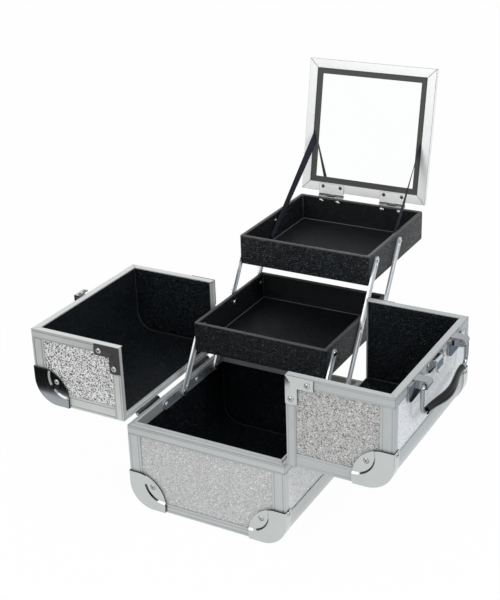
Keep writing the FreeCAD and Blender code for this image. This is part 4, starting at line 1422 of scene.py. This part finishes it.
@dataclass(frozen=True)
class Fasteners:
    """All screws and rivets of the case."""

    hinge_place: float = 0.0435
    hinge_spread: float = 0.0125
    hinge_up: float = 0.0118
    leaf: float = 0.001
    screw_radius: float = 0.0021
    screw_rise: float = 0.0008
    screw_seed: int = 7

    def build(self) -> None:
        """Heads over the CAD fasteners, and the screws of the mirror's hinges."""
        rows = (
            ("base_screw_heads", "base", Head.CROSS, "base_corner_screws", True),
            ("left_lid_heads", "left_lid", Head.CROSS, "left_lid_fasteners", True),
            ("right_lid_heads", "right_lid", Head.CROSS, "right_lid_fasteners", True),
            ("bracket_heads", "base", Head.RIVET, "bracket_rivets", False, ZINC),
            ("lower_tray_heads", "lower_tray", Head.RIVET, "lower_tray_rivets"),
            ("upper_tray_heads", "upper_tray", Head.RIVET, "upper_tray_rivets"),
        )
        for row in rows:
            FastenerHeads(*row).build()
        up = Vector((0, math.sin(MIRROR_TILT), math.cos(MIRROR_TILT)))
        ahead = Vector((0, -math.cos(MIRROR_TILT), math.sin(MIRROR_TILT)))
        seats = []
        for side in (-1, 1):
            for spread in (-1, 1):
                seat = Vector((side * self.hinge_place + spread * self.hinge_spread, *MIRROR_AXIS))
                seats.append((seat + up * self.hinge_up + ahead * self.leaf, ahead))
        screws = FastenerHeads(
            "mirror_hinge_screws", "mirror", Head.CROSS, finish=DARK_HEAD, seed=self.screw_seed
        )
        screws.bake(seats, self.screw_radius, self.screw_rise)


@dataclass(frozen=True)
class PhotoCamera:
    """Camera at the photograph's viewing angle."""

    lens: float = 73.70
    sensor: float = 36.0
    azimuth: float = 29.73
    elevation: float = 24.30
    roll: float = -2.05
    distance: float = 1.40364
    across: float = 0.00496
    up: float = 0.07662
    target_height: float = 0.150

    def build(self) -> None:
        """Place the camera on its sphere round the case."""
        turn, lift, roll = (math.radians(a) for a in (self.azimuth, self.elevation, self.roll))
        back = Vector((math.sin(turn) * math.cos(lift), -math.cos(turn) * math.cos(lift), math.sin(lift)))
        right = Vector((math.cos(turn), math.sin(turn), 0))
        over = back.cross(right)
        place = Vector((0, 0, self.target_height)) + back * self.distance
        place += right * self.across + over * self.up
        rolled_right = right * math.cos(roll) + over * math.sin(roll)
        rolled_up = over * math.cos(roll) - right * math.sin(roll)
        data = bpy.data.cameras.new("photo_camera")
        data.lens = self.lens
        data.sensor_width = self.sensor
        camera = linked("photo_camera", data)
        axes = Matrix((rolled_right, rolled_up, back)).transposed().to_4x4()
        camera.matrix_world = Matrix.Translation(place) @ axes
        bpy.context.scene.camera = camera


@dataclass(frozen=True)
class StudioCard:
    """A flat card of the stage, facing one way; a hidden one shows in reflections alone."""

    name: str
    place: Spot
    facing: Spot
    size: Point
    paint: Finish
    hidden: bool = True

    def build(self) -> None:
        """Stand the card in its place."""
        turn = Vector(self.facing).to_track_quat("Z", "Y")
        x, y = (length / 2 for length in self.size)
        corners = ((-x, -y, 0), (x, -y, 0), (x, y, 0), (-x, y, 0))
        points = [Vector(self.place) + turn @ Vector(corner) for corner in corners]
        card = new_piece(self.name, (points, [[0, 1, 2, 3]]), [self.paint])
        if self.hidden:
            for ray in ("camera", "diffuse", "shadow", "transmission"):
                setattr(card, "visible_" + ray, False)


@dataclass(frozen=True)
class SoftLamp:
    """A square soft lamp aimed at the case."""

    name: str
    place: Spot
    size: float
    power: float
    tint: Colour
    target: Spot = (0, 0.1, 0.15)

    def build(self) -> None:
        """Hang the lamp."""
        data = bpy.data.lights.new(self.name, "AREA")
        data.size = self.size
        data.energy = self.power
        data.color = self.tint
        lamp = linked(self.name, data)
        lamp.location = self.place
        aim = Vector(self.target) - Vector(self.place)
        lamp.rotation_euler = aim.to_track_quat("-Z", "Y").to_euler()


@dataclass(frozen=True)
class Studio:
    """Plain soft light over a pale floor that shows white."""

    floor_side: float = 12.0
    ambient: float = 0.7

    def build(self) -> None:
        """World, floor, lamps and the dark cards that the bright metal reflects."""
        bpy.context.scene.view_settings.view_transform = "Standard"
        self._world()
        flat = (0, 0, 1)
        stage = (
            StudioCard("floor", (0, 0, 0), flat, (self.floor_side, self.floor_side), FLOOR, hidden=False),
            StudioCard("card_floor", (-0.47, -0.62, 0.001), flat, (0.54, 0.68), DARK_CARD),
            StudioCard("card_front", (0.85, -1.35, 0.75), (-0.5, 0.8, -0.3), (0.9, 0.9), DARK_CARD),
            StudioCard("card_right", (1.5, 0.0, 0.35), (-1, 0, 0), (0.5, 0.7), DARK_CARD),
            StudioCard("card_left", (-1.3, -0.05, 0.25), (1, 0, 0), (0.6, 0.9), DARK_CARD),
            StudioCard("card_side", (0.5, 0.27, 0.001), flat, (0.32, 0.62), SIDE_CARD),
            SoftLamp("key", (1.4, -0.35, 1.1), 0.5, 9.5, (0.88, 0.95, 1.0)),
            SoftLamp("fill", (-0.6, -1.6, 1.3), 1.3, 8.0, (1.0, 0.99, 0.97)),
        )
        for item in stage:
            item.build()

    def _world(self) -> None:
        """White to the camera and in reflections, softer as a light."""
        world = bpy.data.worlds.new("studio")
        bpy.context.scene.world = world
        world.use_nodes = True
        book = NodeBook(world.node_tree)
        level = self.ambient + book.seen() * (1 - self.ambient)
        light = book.node("ShaderNodeBackground", {"Color": opaque(grey(1.0)), "Strength": level})
        book.node("ShaderNodeOutputWorld", {"Surface": light["Background"]})


def main() -> None:
    """Build the scene in order."""
    logging.basicConfig(level=logging.INFO, format="%(message)s")
    PhotoCamera().build()
    Studio().build()
    dress_nodes()
    ClothLining("base_lining", "base", Bend.BOTH).build()
    ClothLining("left_lid_lining", "left_lid", Bend.LEFT).build()
    ClothLining("right_lid_lining", "right_lid", Bend.RIGHT).build()
    for tray in ("lower_tray", "upper_tray"):
        CoveredTray(tray).build()
    for side in (-1, 1):
        MirrorStrap(side).build()
    Fasteners().build()


if __name__ == "__main__":
    main()
